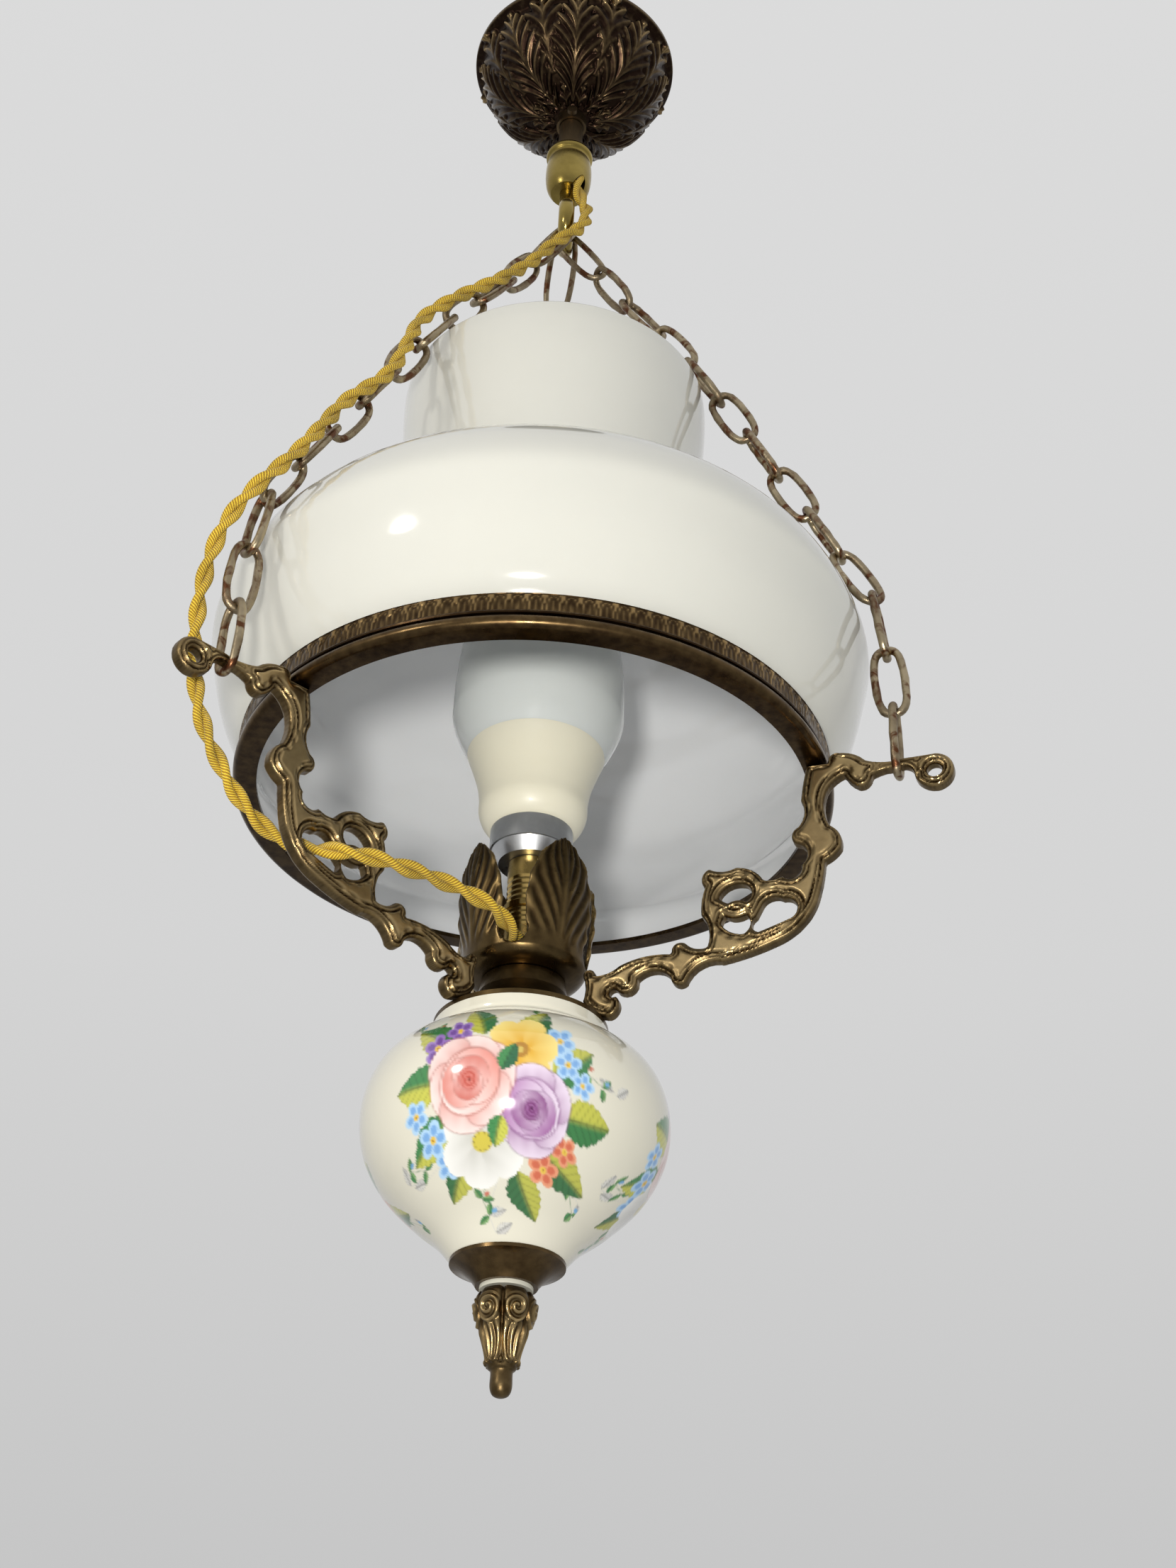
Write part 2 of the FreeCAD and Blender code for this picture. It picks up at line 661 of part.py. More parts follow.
def make_chain(azimuth, hook_place):
    turn = math.radians(azimuth)
    radial = Vector(math.cos(turn), math.sin(turn), 0)
    tangent = Vector(-math.sin(turn), math.cos(turn), 0)
    joints = [radial * reach + Vector(0, 0, ring_z + height) for reach, height in chain_joints(ring_drop)]
    joints.reverse()
    place = math.radians(hook_place)
    hook_along = Vector(0, math.cos(place), math.sin(place))
    hook_centre = Vector(0, 0, chain_hook_z + chain_hook_bend_r)
    hook_point = hook_centre + Vector(0, math.sin(place), -math.cos(place)) * chain_hook_bend_r
    last = radial * arm_bar_reach + Vector(0, 0, ring_z + last_wire)
    link = make_link(link_span)
    solids = []

    pull = joints[0] - hook_point
    pull = (pull - hook_along * pull.dot(hook_along)).normalize()
    upper = hook_point - pull * (chain_hook_wire_r + link_wire_r + fit_gap / 2)
    along = (joints[0] - upper).normalize()
    upper -= along * link_wire_r
    lower = joints[0] + along * link_joint
    normal = (hook_along - along * hook_along.dot(along)).normalize()
    solids.append(placed_link(make_link((lower - upper).Length), (upper + lower) * 0.5, along, normal))
    side = tangent.cross(along).normalize()
    level = (tangent - along * tangent.dot(along)).normalize()
    roll = math.degrees(math.atan2(normal.dot(side), normal.dot(level)))
    twist = (roll - link_roll_angles[0] + 90) % 180 - 90

    for index in range(1, chain_links):
        upper = joints[index - 1]
        if index < chain_links - 1:
            along = (joints[index] - upper).normalize()
        else:
            along = (last - upper).normalize()
        centre = upper + along * (link_span / 2 - link_joint)
        side = tangent.cross(along).normalize()
        fade = max(0.0, 1 - index / roll_fade_links)
        angle = math.radians(link_roll_angles[index] + twist * fade)
        normal = tangent * math.cos(angle) + side * math.sin(angle)
        solids.append(placed_link(link, centre, along, normal))
    return group(solids)


def make_ring():
    band_r = ring_r + ring_band_proud
    bead_top = 2 * ring_bead_r
    top = ring_z + ring_height
    bead_mid = Vector(ring_r + ring_bead_proud, 0, ring_z + ring_bead_r)
    foot = Vector(ring_r + fit_gap, 0, ring_z)
    groove = Vector(ring_r, 0, ring_z + bead_top)
    corner = [groove, Vector(band_r, 0, ring_z + ring_height - ring_band_height), Vector(band_r, 0, top),
              Vector(ring_inner_r, 0, top), Vector(ring_inner_r, 0, ring_z + ring_ledge_thickness),
              Vector(ring_ledge_r, 0, ring_z + ring_ledge_thickness), Vector(ring_ledge_r, 0, ring_z), foot]
    edges = [Part.Arc(foot, bead_mid, groove).toShape()] + polygon_edges(corner)
    return revolved(edges)


def make_shade():
    bottom = ring_z + shade_seat
    outline = ring_points(shade_outline_shares, shade_r, bottom, shade_height)
    inner = inset_points(outline, shade_wall)
    inner[0] = Vector(inner[0].x, 0, bottom)
    lip = (outline[-1] + inner[-1]) * 0.5 + (outline[-1] - outline[-2]).normalize() * (shade_wall / 2)
    edges = curved(outline) + [Part.Arc(outline[-1], lip, inner[-1]).toShape()] + curved(inner[::-1])
    edges += polygon_edges([inner[0], outline[0]])
    return revolved(edges)


cup_floor_z = ring_z - cup_floor_drop
neck_bottom_z = cup_floor_z - neck_height
arm_foot_r = neck_flange_r * arm_foot_share
arm_reaches = (arm_foot_r, arm_foot_r + arm_foot_length, arm_seat_outer_r, arm_bar_reach, arm_eye_reach)
arm_heights = (ring_z, ring_z - arm_head_depth, neck_bottom_z + arm_foot_height, neck_bottom_z)


def between(places, share):
    # The whole part of a share counts the places passed, and the rest lies on the way to the next.
    index = max(0, min(int(share), len(places) - 2))
    return places[index] + (places[index + 1] - places[index]) * (share - index)


def arm_points(shares):
    return [Vector(between(arm_reaches, x), 0, between(arm_heights, z)) for x, z in shares]


def across_arm(face, thickness):
    # A plate of one thickness with its middle in the arm's own plane.
    plate = face.extrude(Vector(0, thickness, 0))
    if plate.Volume < 0:
        plate.reverse()
    plate.translate(Vector(0, -thickness / 2, 0))
    return plate


def arm_faces(edge):
    # The arm's outline with its openings. Every side moves inwards by the edge.
    seat_inner = Vector(arm_seat_inner_r, 0, ring_z)
    seat_outer = Vector(arm_seat_outer_r, 0, ring_z)
    outside = [seat_outer] + arm_points(arm_top_shares)
    inside = [outside[-1]] + arm_points(arm_inner_shares) + [seat_inner]
    edges = curved(outside) + curved(inside) + [Part.makeLine(seat_inner, seat_outer)]
    face = Part.Face(Part.Wire(edges))
    openings = []
    for shares in arm_hole_shares:
        points = arm_points(shares)
        openings.append(Part.Face(Part.Wire(curved(points + points[:1]))))
    eye_centre = Vector(arm_eye_reach, 0, ring_z - arm_head_depth * arm_eye_share)
    openings.append(Part.Face(Part.Wire(Part.makeCircle(arm_eye_hole_r, eye_centre, Vector(0, 1, 0)))))
    if edge > 0:
        face = face.makeOffset2D(-edge)
        openings = [opening.makeOffset2D(edge) for opening in openings]
    for opening in openings:
        face = face.cut(opening)
    return face.Faces


def make_arm(azimuth):
    plates = [across_arm(face, arm_edge_thickness) for face in arm_faces(0)]
    plates += [across_arm(face, arm_thickness) for face in arm_faces(arm_edge_width)]
    arm = plates[0].fuse(plates[1:])
    for side in (-1, 1):
        waist = Part.makeBox(2 * arm_bar_half_length, arm_thickness, arm_head_depth + 2 * overrun)
        waist_y = (side * (arm_bar_width + arm_thickness) - arm_thickness) / 2
        waist_z = ring_z - arm_head_depth - overrun
        waist.translate(Vector(arm_bar_reach - arm_bar_half_length, waist_y, waist_z))
        arm = arm.cut(waist)
    return at_azimuth(arm, azimuth)


cup_top_z = cup_floor_z + cup_height
body_bottom_z = neck_bottom_z - body_height
bottom_cup_foot_z = body_bottom_z - bottom_cup_height
finial_top_z = bottom_cup_foot_z - gasket_height
holder_top_z = ring_z - holder_top_drop
holder_bottom_z = holder_top_z - holder_length
rod_bore = rod_r + fit_gap


def make_leaf_cup():
    outline = ring_points(cup_outline_shares, cup_r, cup_floor_z, cup_height)
    inner = inset_points(outline, cup_wall)
    inner[0] = Vector(inner[0].x, 0, cup_floor_z + cup_wall)
    inner[-1] = Vector(inner[-1].x, 0, cup_top_z)
    edges = curved(outline) + [Part.makeLine(outline[-1], inner[-1])] + curved(inner[::-1])
    edges += polygon_edges([inner[0], Vector(rod_bore, 0, inner[0].z), Vector(rod_bore, 0, cup_floor_z),
                            outline[0]])
    cup = revolved(edges)
    floor = cup_floor_z + cup_notch_floor
    spring = floor + cup_notch_half_width
    top = cup_top_z + overrun
    tip = cup_r * cup_tip_share * math.sin(math.pi / cup_leaves)
    half = cup_notch_half_width
    side = [Vector(0, half, spring)]
    side += [Vector(0, half * y, cup_floor_z + cup_height * z) for y, z in cup_notch_side_shares]
    side.append(Vector(0, tip, cup_top_z))
    other = [Vector(0, -p.y, p.z) for p in side]
    low = Part.Arc(other[0], Vector(0, 0, floor), side[0]).toShape()
    edges = [low] + curved(side)
    edges += polygon_edges([side[-1], Vector(0, tip, top), Vector(0, -tip, top), other[-1]])
    edges += curved(other[::-1])
    cutter = Part.Face(Part.Wire(edges)).extrude(Vector(cup_r + overrun, 0, 0))
    for leaf in range(cup_leaves):
        cup = cup.cut(at_azimuth(cutter, cup_notch_angle + 360 * leaf / cup_leaves))
    return cup


def make_neck():
    outline = ring_points(neck_outline_shares, neck_flange_r, neck_bottom_z, neck_height)
    inner = inset_points(outline, -neck_wall)
    inner[0] = Vector(inner[0].x, 0, cup_floor_z - neck_wall)
    inner[-1] = Vector(inner[-1].x, 0, neck_bottom_z)
    edges = curved(outline) + [Part.makeLine(outline[-1], inner[-1])] + curved(inner[::-1])
    edges += polygon_edges([inner[0], Vector(rod_bore, 0, inner[0].z), Vector(rod_bore, 0, cup_floor_z),
                            outline[0]])
    return revolved(edges)


def make_porcelain():
    outline = ring_points(body_outline_shares, body_r, body_bottom_z, body_height)
    inner = inset_points(outline, -body_wall)
    inner[0] = Vector(inner[0].x, 0, neck_bottom_z)
    inner[-1] = Vector(inner[-1].x, 0, body_bottom_z + body_wall)
    edges = curved(outline)
    edges += polygon_edges([outline[-1], Vector(rod_bore, 0, body_bottom_z),
                            Vector(rod_bore, 0, inner[-1].z), inner[-1]])
    edges += curved(inner[::-1]) + [Part.makeLine(inner[0], outline[0])]
    return revolved(edges)


def make_bottom_cup():
    top = body_bottom_z
    rim = Vector(bottom_cup_r, 0, top - bottom_cup_height * bottom_cup_lip_share)
    foot = Vector(bottom_cup_foot_r, 0, bottom_cup_foot_z)
    bulge = (foot - rim).cross(Vector(0, 1, 0)) * bottom_cup_belly_share
    belly = (rim + foot) * 0.5 - bulge
    edges = [Part.Arc(rim, belly, foot).toShape()]
    edges += polygon_edges([foot, Vector(rod_bore, 0, bottom_cup_foot_z), Vector(rod_bore, 0, top),
                            Vector(bottom_cup_r, 0, top), rim])
    return revolved(edges)


def make_gasket():
    return tube(gasket_r, rod_bore, finial_top_z, bottom_cup_foot_z)


def make_finial():
    bottom = finial_top_z - finial_height
    outline = ring_points(finial_outline_shares, finial_r, bottom, finial_height)
    edges = curved(outline)
    edges += polygon_edges([outline[-1], Vector(0, 0, bottom), Vector(0, 0, finial_top_z), outline[0]])
    bore = cylinder(rod_bore, finial_top_z - finial_height * rod_tail_share, finial_top_z + overrun)
    return revolved(edges).cut(bore)


def make_rod():
    bottom = finial_top_z - finial_height * rod_tail_share
    return tube(rod_r, rod_r - rod_wall, bottom, holder_bottom_z + holder_floor + rod_in_holder)


def make_nut():
    bottom = cup_floor_z + cup_wall
    corner_r = nut_flats / 2 / math.cos(math.pi / 6)
    turns = [math.pi * corner / 3 for corner in range(7)]
    corners = [Vector(corner_r * math.cos(turn), corner_r * math.sin(turn), bottom) for turn in turns]
    hexagon = Part.Face(Part.makePolygon(corners)).extrude(Vector(0, 0, nut_height))
    return hexagon.cut(cylinder(rod_bore, bottom - overrun, bottom + nut_height + overrun))


holder_floor_z = holder_bottom_z + holder_floor
core_bottom_z = holder_floor_z + rod_in_holder + fit_gap
core_top_z = core_bottom_z + core_height
holder_inner_r = holder_r - holder_wall
base_top_z = holder_bottom_z + holder_base_wrap
stack_top_z = base_top_z + holder_stack_height


def make_holder_body():
    # A deep drawn tube with a floor, and thread rings rolled into its upper half.
    thread_bottom = stack_top_z + holder_ring_height
    pitch = (holder_length * holder_thread_share) / holder_thread_turns
    outline = [Vector(rod_bore, 0, holder_bottom_z), Vector(holder_r, 0, holder_bottom_z),
               Vector(holder_r, 0, thread_bottom)]
    for turn in range(holder_thread_turns):
        low = thread_bottom + pitch * turn
        outline.append(Vector(holder_r - holder_thread_depth, 0, low + pitch / 2))
        outline.append(Vector(holder_r, 0, low + pitch))
    outline += [Vector(holder_r, 0, holder_top_z), Vector(holder_inner_r, 0, holder_top_z),
                Vector(holder_inner_r, 0, holder_floor_z), Vector(rod_bore, 0, holder_floor_z)]
    return turned(outline)


def make_holder_ring():
    return tube(holder_ring_r, holder_r + fit_gap / 2, stack_top_z, stack_top_z + holder_ring_height)


def make_holder_stack():
    inner = holder_r + fit_gap / 2
    step = (stack_top_z - base_top_z) / holder_stack_rings
    outline = [Vector(inner, 0, base_top_z)]
    for ring in range(holder_stack_rings):
        low = base_top_z + step * ring
        outline.append(Vector(holder_stack_r - holder_stack_groove, 0, low))
        outline.append(Vector(holder_stack_r, 0, low + step / 2))
    outline.append(Vector(holder_stack_r - holder_stack_groove, 0, stack_top_z))
    outline.append(Vector(inner, 0, stack_top_z))
    return turned(outline)


def make_holder_base():
    inner = holder_r + fit_gap / 2
    foot_z = holder_bottom_z - holder_base_height
    outline = [Vector(rod_bore, 0, foot_z), Vector(holder_base_foot_r, 0, foot_z),
               Vector(holder_stack_r, 0, holder_bottom_z - holder_base_height * holder_base_rim_share),
               Vector(holder_stack_r, 0, base_top_z), Vector(inner, 0, base_top_z),
               Vector(inner, 0, holder_bottom_z), Vector(rod_bore, 0, holder_bottom_z)]
    return turned(outline)


def make_core():
    return cylinder(holder_inner_r - sleeve_gap / 2, core_bottom_z, core_top_z)


sleeve_r = holder_inner_r - sleeve_gap


def make_sleeve():
    return tube(sleeve_r, sleeve_r - sleeve_wall, core_top_z, core_top_z + sleeve_length)


collar_foot_z = holder_top_z + body_gap
cap_bottom_z = collar_foot_z - cap_length
lamp_contact_z = cap_bottom_z - cap_insulator_height - cap_contact_height
lamp_collar_top_z = collar_foot_z + lamp_collar_height
lamp_base_top_z = lamp_collar_top_z + lamp_base_height


def make_holder_contact():
    top = lamp_contact_z - body_gap
    leg = Part.makeBox(holder_contact_thickness, holder_contact_r, top - core_top_z,
                       Vector(-holder_contact_r, -holder_contact_r / 2, core_top_z))
    plate = Part.makeBox(2 * holder_contact_r, holder_contact_r, holder_contact_thickness,
                         Vector(-holder_contact_r, -holder_contact_r / 2, top - holder_contact_thickness))
    foot = Part.makeBox(2 * holder_contact_r, holder_contact_r, holder_contact_thickness,
                        Vector(-holder_contact_r, -holder_contact_r / 2, core_top_z))
    return fused([leg, plate, foot])


def make_cap():
    # The screw cap, with rolled thread rings, a glass insulator and a centre contact.
    pitch = cap_length * cap_thread_share / cap_thread_turns
    outline = [Vector(0, 0, cap_bottom_z), Vector(cap_r - cap_thread_depth, 0, cap_bottom_z)]
    for turn in range(cap_thread_turns):
        low = cap_bottom_z + pitch * turn
        outline.append(Vector(cap_r, 0, low + pitch / 2))
        outline.append(Vector(cap_r - cap_thread_depth, 0, low + pitch))
    outline += [Vector(cap_r - cap_thread_depth, 0, collar_foot_z), Vector(0, 0, collar_foot_z)]
    return turned(outline)


def make_cap_insulator():
    top = cap_bottom_z
    bottom = top - cap_insulator_height
    return turned([Vector(0, 0, bottom), Vector(cap_contact_r, 0, bottom),
                   Vector(cap_r - cap_thread_depth, 0, top), Vector(0, 0, top)])


def make_cap_contact():
    top = cap_bottom_z - cap_insulator_height
    return cylinder(cap_contact_r, top - cap_contact_height, top)


def make_lamp_collar():
    step_z = collar_foot_z + lamp_collar_height * lamp_collar_step_share
    inner = lamp_collar_r - lamp_collar_wall
    return turned([Vector(0, 0, collar_foot_z), Vector(lamp_collar_foot_r, 0, collar_foot_z),
                   Vector(lamp_collar_r * lamp_collar_taper_share, 0, step_z),
                   Vector(lamp_collar_r, 0, step_z),
                   Vector(lamp_collar_r, 0, lamp_collar_top_z), Vector(inner, 0, lamp_collar_top_z),
                   Vector(inner, 0, step_z + lamp_collar_wall), Vector(0, 0, step_z + lamp_collar_wall)])


def make_lamp_base():
    outline = ring_points(lamp_base_outline_shares, lamp_base_r, lamp_collar_top_z, lamp_base_height)
    outline[0] = Vector(lamp_collar_r - fit_gap, 0, lamp_collar_top_z)
    inner = inset_points(outline, lamp_base_wall)
    inner[0] = Vector(inner[0].x, 0, lamp_collar_top_z + lamp_base_wall)
    inner[-1] = Vector(inner[-1].x, 0, lamp_base_top_z)
    edges = curved(outline) + [Part.makeLine(outline[-1], inner[-1])] + curved(inner[::-1])
    edges += polygon_edges([inner[0], Vector(0, 0, inner[0].z), Vector(0, 0, lamp_collar_top_z), outline[0]])
    return revolved(edges)


board_r = lamp_base_r - lamp_base_wall


def make_board():
    return cylinder(board_r, lamp_base_top_z, lamp_base_top_z + board_thickness)


def make_globe():
    outline = ring_points(globe_outline_shares, globe_r, lamp_base_top_z, globe_height)
    outline[0].x = board_r + fit_gap + globe_wall
    inner = inset_points(outline, globe_wall)
    inner[0] = Vector(inner[0].x, 0, lamp_base_top_z)
    inner[-1] = outline[-1] - Vector(0, 0, globe_wall)
    pole = Vector(0, 0, outline[-1].z)
    edges = curved(outline) + polygon_edges([outline[-1], pole, pole - Vector(0, 0, globe_wall), inner[-1]])
    edges += curved(inner[::-1]) + [Part.makeLine(inner[0], outline[0])]
    return revolved(edges)


def cord_edges(corners):
    # Straight runs joined by tangent arcs, each as wide as the shorter run beside its corner allows.
    edges = []
    radii = []
    start = corners[0]
    for before, corner, after in zip(corners, corners[1:], corners[2:]):
        back = before - corner
        ahead = after - corner
        reach = cord_bend_share * min(back.Length, ahead.Length)
        half_turn = (math.pi - back.getAngle(ahead)) / 2
        radius = reach / math.tan(half_turn)
        inward = (back.normalize() + ahead.normalize()).normalize()
        middle = corner + inward * (radius / math.cos(half_turn) - radius)
        edges.append(Part.makeLine(start, corner + back * reach))
        edges.append(Part.Arc(corner + back * reach, middle, corner + ahead * reach).toShape())
        radii.append(round(radius, 1))
        start = corner + ahead * reach
    edges.append(Part.makeLine(start, corners[-1]))
    length = sum(edge.Length for edge in edges)
    print("cord radii", radii, "length", round(length), "volume", round(math.pi * cord_r ** 2 * length))
    return edges


cord_corners = [Vector(x, y, ring_z + z) for x, y, z in cord_route]


def make_cord_top():
    corners = [Vector(x, y, knob_bottom_z + z) for x, y, z in cord_top_route]
    back = (cord_corners[0] - cord_corners[1]).normalize()
    return wire_sweep(cord_edges(corners + [cord_corners[0] + back * body_gap]), cord_r)


def make_cord():
    return wire_sweep(cord_edges(cord_corners), cord_r)


os.makedirs("parts", exist_ok=True)
export(make_ceiling_hook(), "ceiling_hook")
export(make_stem_loop(), "stem_loop")
export(make_stem_tube(), "stem_tube")
export(make_knob(), "hook_knob")
export(make_chain_hook(), "chain_hook")
export(make_cord_top(), "cord_top")
export(make_canopy(), "canopy")
export(make_collar(), "canopy_collar")
export(make_collar_screw(), "collar_screw")
export(make_terminal_block(), "terminal_block")
export(make_terminal_screws(), "terminal_screws")
for side, azimuth in chain_angles.items():
    export(make_chain(azimuth, hook_place_angles[side]), "chain_" + side)
    export(make_arm(azimuth), "arm_" + side)
export(make_ring(), "gallery_ring")
export(make_shade(), "glass_shade")
export(make_leaf_cup(), "leaf_cup")
export(make_neck(), "cup_neck")
export(make_porcelain(), "porcelain_body")
export(make_bottom_cup(), "bottom_cup")
export(make_gasket(), "bottom_gasket")
export(make_finial(), "finial")
export(make_rod(), "threaded_rod")
export(make_nut(), "cup_nut")
export(make_holder_body(), "lampholder_body")
export(make_holder_ring(), "lampholder_ring")
export(make_holder_stack(), "lampholder_collars")
export(make_holder_base(), "lampholder_base")
export(make_core(), "lampholder_core")
export(make_sleeve(), "lampholder_sleeve")
export(make_holder_contact(), "lampholder_contact")
export(make_cap(), "lamp_cap")
export(make_cap_insulator(), "lamp_cap_insulator")
export(make_cap_contact(), "lamp_cap_contact")
export(make_lamp_collar(), "lamp_collar")
export(make_lamp_base(), "lamp_base")
export(make_board(), "lamp_board")
export(make_globe(), "lamp_globe")
export(make_cord(), "cord")
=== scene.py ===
# %% [markdown]
# # A pendant light with a glass dome and a painted porcelain drop
# This notebook dresses a measured model of an old hanging lamp. The measured solids are loaded first
# and fix every size. The pieces that show most are then modelled again with finer forms, each piece
# gets a finish of its own, and a camera looks up at the lamp as somebody in the room would.

# %% Start from the measured solids
import json
import math

import bmesh
import bpy
import numpy as np
from mathutils import Matrix, Vector
from mathutils.kdtree import KDTree

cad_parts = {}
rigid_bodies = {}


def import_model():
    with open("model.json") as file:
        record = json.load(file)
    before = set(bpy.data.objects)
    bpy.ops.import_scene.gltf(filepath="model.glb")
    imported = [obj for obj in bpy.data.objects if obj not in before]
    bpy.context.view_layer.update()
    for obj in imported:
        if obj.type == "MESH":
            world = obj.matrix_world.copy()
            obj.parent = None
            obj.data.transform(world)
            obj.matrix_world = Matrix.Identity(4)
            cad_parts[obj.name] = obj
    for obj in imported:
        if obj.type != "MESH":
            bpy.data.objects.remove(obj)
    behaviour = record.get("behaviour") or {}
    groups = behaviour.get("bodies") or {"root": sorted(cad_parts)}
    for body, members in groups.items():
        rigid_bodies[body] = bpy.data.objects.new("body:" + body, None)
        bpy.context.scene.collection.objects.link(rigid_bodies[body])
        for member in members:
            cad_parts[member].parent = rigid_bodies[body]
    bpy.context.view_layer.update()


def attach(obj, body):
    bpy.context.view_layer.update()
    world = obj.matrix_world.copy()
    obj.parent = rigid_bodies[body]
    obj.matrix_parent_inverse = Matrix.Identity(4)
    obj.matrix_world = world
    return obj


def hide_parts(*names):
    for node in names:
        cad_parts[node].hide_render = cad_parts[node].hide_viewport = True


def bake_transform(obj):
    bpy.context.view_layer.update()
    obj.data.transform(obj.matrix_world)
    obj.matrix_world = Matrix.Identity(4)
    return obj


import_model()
bpy.ops.object.select_all(action="DESELECT")
MM = 0.001
RING_Z = -482.33


# %% [markdown]
# ## Small helpers for finishes
# A finish is a shader with a few procedural patterns in front of it. Every pattern reads Object
# coordinates in metres, so it keeps its scale and stays with its piece when the lamp swings.

# %% Shader helpers
def new_finish(name, colour=(0.8, 0.8, 0.8), metal=0.0, rough=0.5):
    finish = bpy.data.materials.new(name)
    finish.use_nodes = True
    shader = finish.node_tree.nodes["Principled BSDF"]
    shader.inputs["Base Color"].default_value = (*colour, 1)
    shader.inputs["Metallic"].default_value = metal
    shader.inputs["Roughness"].default_value = rough
    return finish, finish.node_tree, shader


def coordinates(tree):
    return tree.nodes.new("ShaderNodeTexCoord").outputs["Object"]


def speckle(tree, scale, detail=4.0, distortion=0.0, coords=None):
    node = tree.nodes.new("ShaderNodeTexNoise")
    node.inputs["Scale"].default_value = scale
    node.inputs["Detail"].default_value = detail
    node.inputs["Distortion"].default_value = distortion
    tree.links.new(coords or coordinates(tree), node.inputs["Vector"])
    return node.outputs["Fac"]


def ramp(tree, value, stops):
    node = tree.nodes.new("ShaderNodeValToRGB")
    while len(node.color_ramp.elements) < len(stops):
        node.color_ramp.elements.new(0.5)
    for element, (place, colour) in zip(node.color_ramp.elements, stops):
        element.position = place
        element.color = (*colour, 1)
    tree.links.new(value, node.inputs["Fac"])
    return node.outputs["Color"]


def mix(tree, share, first, second, blend="MIX"):
    node = tree.nodes.new("ShaderNodeMix")
    node.data_type = "RGBA"
    node.blend_type = blend
    for socket, value in ((node.inputs[0], share), (node.inputs[6], first), (node.inputs[7], second)):
        if isinstance(value, bpy.types.NodeSocket):
            tree.links.new(value, socket)
        else:
            socket.default_value = (*value, 1) if isinstance(value, tuple) else value
    return node.outputs[2]


def sums(tree, kind, first, second):
    node = tree.nodes.new("ShaderNodeMath")
    node.operation = kind
    for socket, value in zip(node.inputs, (first, second)):
        if isinstance(value, bpy.types.NodeSocket):
            tree.links.new(value, socket)
        else:
            socket.default_value = value
    return node.outputs[0]


def attribute(tree, name, output="Fac"):
    node = tree.nodes.new("ShaderNodeAttribute")
    node.attribute_name = name
    return node.outputs[output]


def bumps(tree, shader, height, distance):
    node = tree.nodes.new("ShaderNodeBump")
    node.inputs["Distance"].default_value = distance
    tree.links.new(height, node.inputs["Height"])
    tree.links.new(node.outputs["Normal"], shader.inputs["Normal"])


def grey(value):
    return (value, value, value)


# %% [markdown]
# ## The metals
# The lamp's brass has aged in different ways: bright on the knob and hook, brown in the hollows of
# the embossed canopy and ring, dull and fluted on the arms, and rusty on the plated chain links.
# One recipe makes them all: a dark tone in the hollows and a light one on the worn ridges.

# %% Metal finishes
def aged_metal(name, hollow, worn, rough, grain=260.0, wear_and_painted_light=True, spots=None, pits=0.00006,
               blotch=0.5):
    finish, tree, shader = new_finish(name, worn, 1.0, rough)
    cloud = speckle(tree, 60.0, 5.0)
    fine = speckle(tree, grain, 6.0)
    share = ramp(tree, cloud, [(0.32, grey(1 - blotch)), (0.68, grey(1.0))])
    if wear_and_painted_light:
        # This value lightens worn ridges and darkens hollows; on the ring's bead, the canopy's leaf tips and
        # the arms it also carries painted highlights.
        rubbed_and_highlight = ramp(tree, attribute(tree, "wear_and_painted_light"),
                      [(0.20, grey(0.0)), (0.55, grey(0.30)), (0.95, grey(1.0))])
        share = sums(tree, "MULTIPLY", share, rubbed_and_highlight)
    share = sums(tree, "ADD", share, sums(tree, "MULTIPLY", sums(tree, "SUBTRACT", fine, 0.5), 0.35))
    clean = tree.nodes.new("ShaderNodeClamp")
    tree.links.new(share, clean.inputs["Value"])
    tone = mix(tree, clean.outputs[0], hollow, worn)
    if spots:
        patch = ramp(tree, speckle(tree, 140.0, 6.0, 1.0), [(0.50, grey(0.0)), (0.62, grey(1.0))])
        tone = mix(tree, patch, tone, spots)
    tree.links.new(tone, shader.inputs["Base Color"])
    dull = ramp(tree, cloud, [(0.3, grey(rough + 0.16)), (0.7, grey(rough - 0.08))])
    tree.links.new(dull, shader.inputs["Roughness"])
    bumps(tree, shader, fine, pits)
    return finish


yellow_brass = aged_metal("Yellow brass", (0.10, 0.068, 0.014), (0.40, 0.30, 0.085), 0.20, wear_and_painted_light=False)
stem_brass = aged_metal("Tarnished stem brass", (0.045, 0.032, 0.020), (0.17, 0.12, 0.065), 0.34,
                        wear_and_painted_light=False)
canopy_brass = aged_metal("Brown canopy brass", (0.022, 0.012, 0.008), (0.44, 0.31, 0.15), 0.27, blotch=0.4)
dark_brass = aged_metal("Brown rolled brass", (0.034, 0.019, 0.009), (0.42, 0.28, 0.12), 0.24)
cast_brass = aged_metal("Cast brass", (0.055, 0.033, 0.013), (0.56, 0.41, 0.20), 0.31, pits=0.00012)
leaf_brass = aged_metal("Leaf cup brass", (0.045, 0.028, 0.012), (0.32, 0.22, 0.09), 0.29)
chain_metal = aged_metal("Plated chain metal", (0.12, 0.080, 0.045), (0.46, 0.38, 0.25), 0.36, 420.0,
                         wear_and_painted_light=False, spots=(0.13, 0.055, 0.026), pits=0.00025, blotch=0.7)
steel = aged_metal("Zinc plated steel", (0.26, 0.25, 0.24), (0.52, 0.51, 0.48), 0.34, wear_and_painted_light=False)
aluminium = aged_metal("Crimped aluminium", (0.34, 0.35, 0.36), (0.70, 0.71, 0.72), 0.30, wear_and_painted_light=False)
holder_brass = aged_metal("Lampholder brass", (0.16, 0.10, 0.025), (0.54, 0.38, 0.13), 0.24, wear_and_painted_light=False)
print("metal finishes made")


# %% [markdown]
# ## Glass, porcelain, plastic and silk
# Opal glass is white all through, with a hard gloss. The lamp's own globe is thinner and greener.
# The porcelain's flowers are painted on its mesh as a colour attribute, under the same glaze.

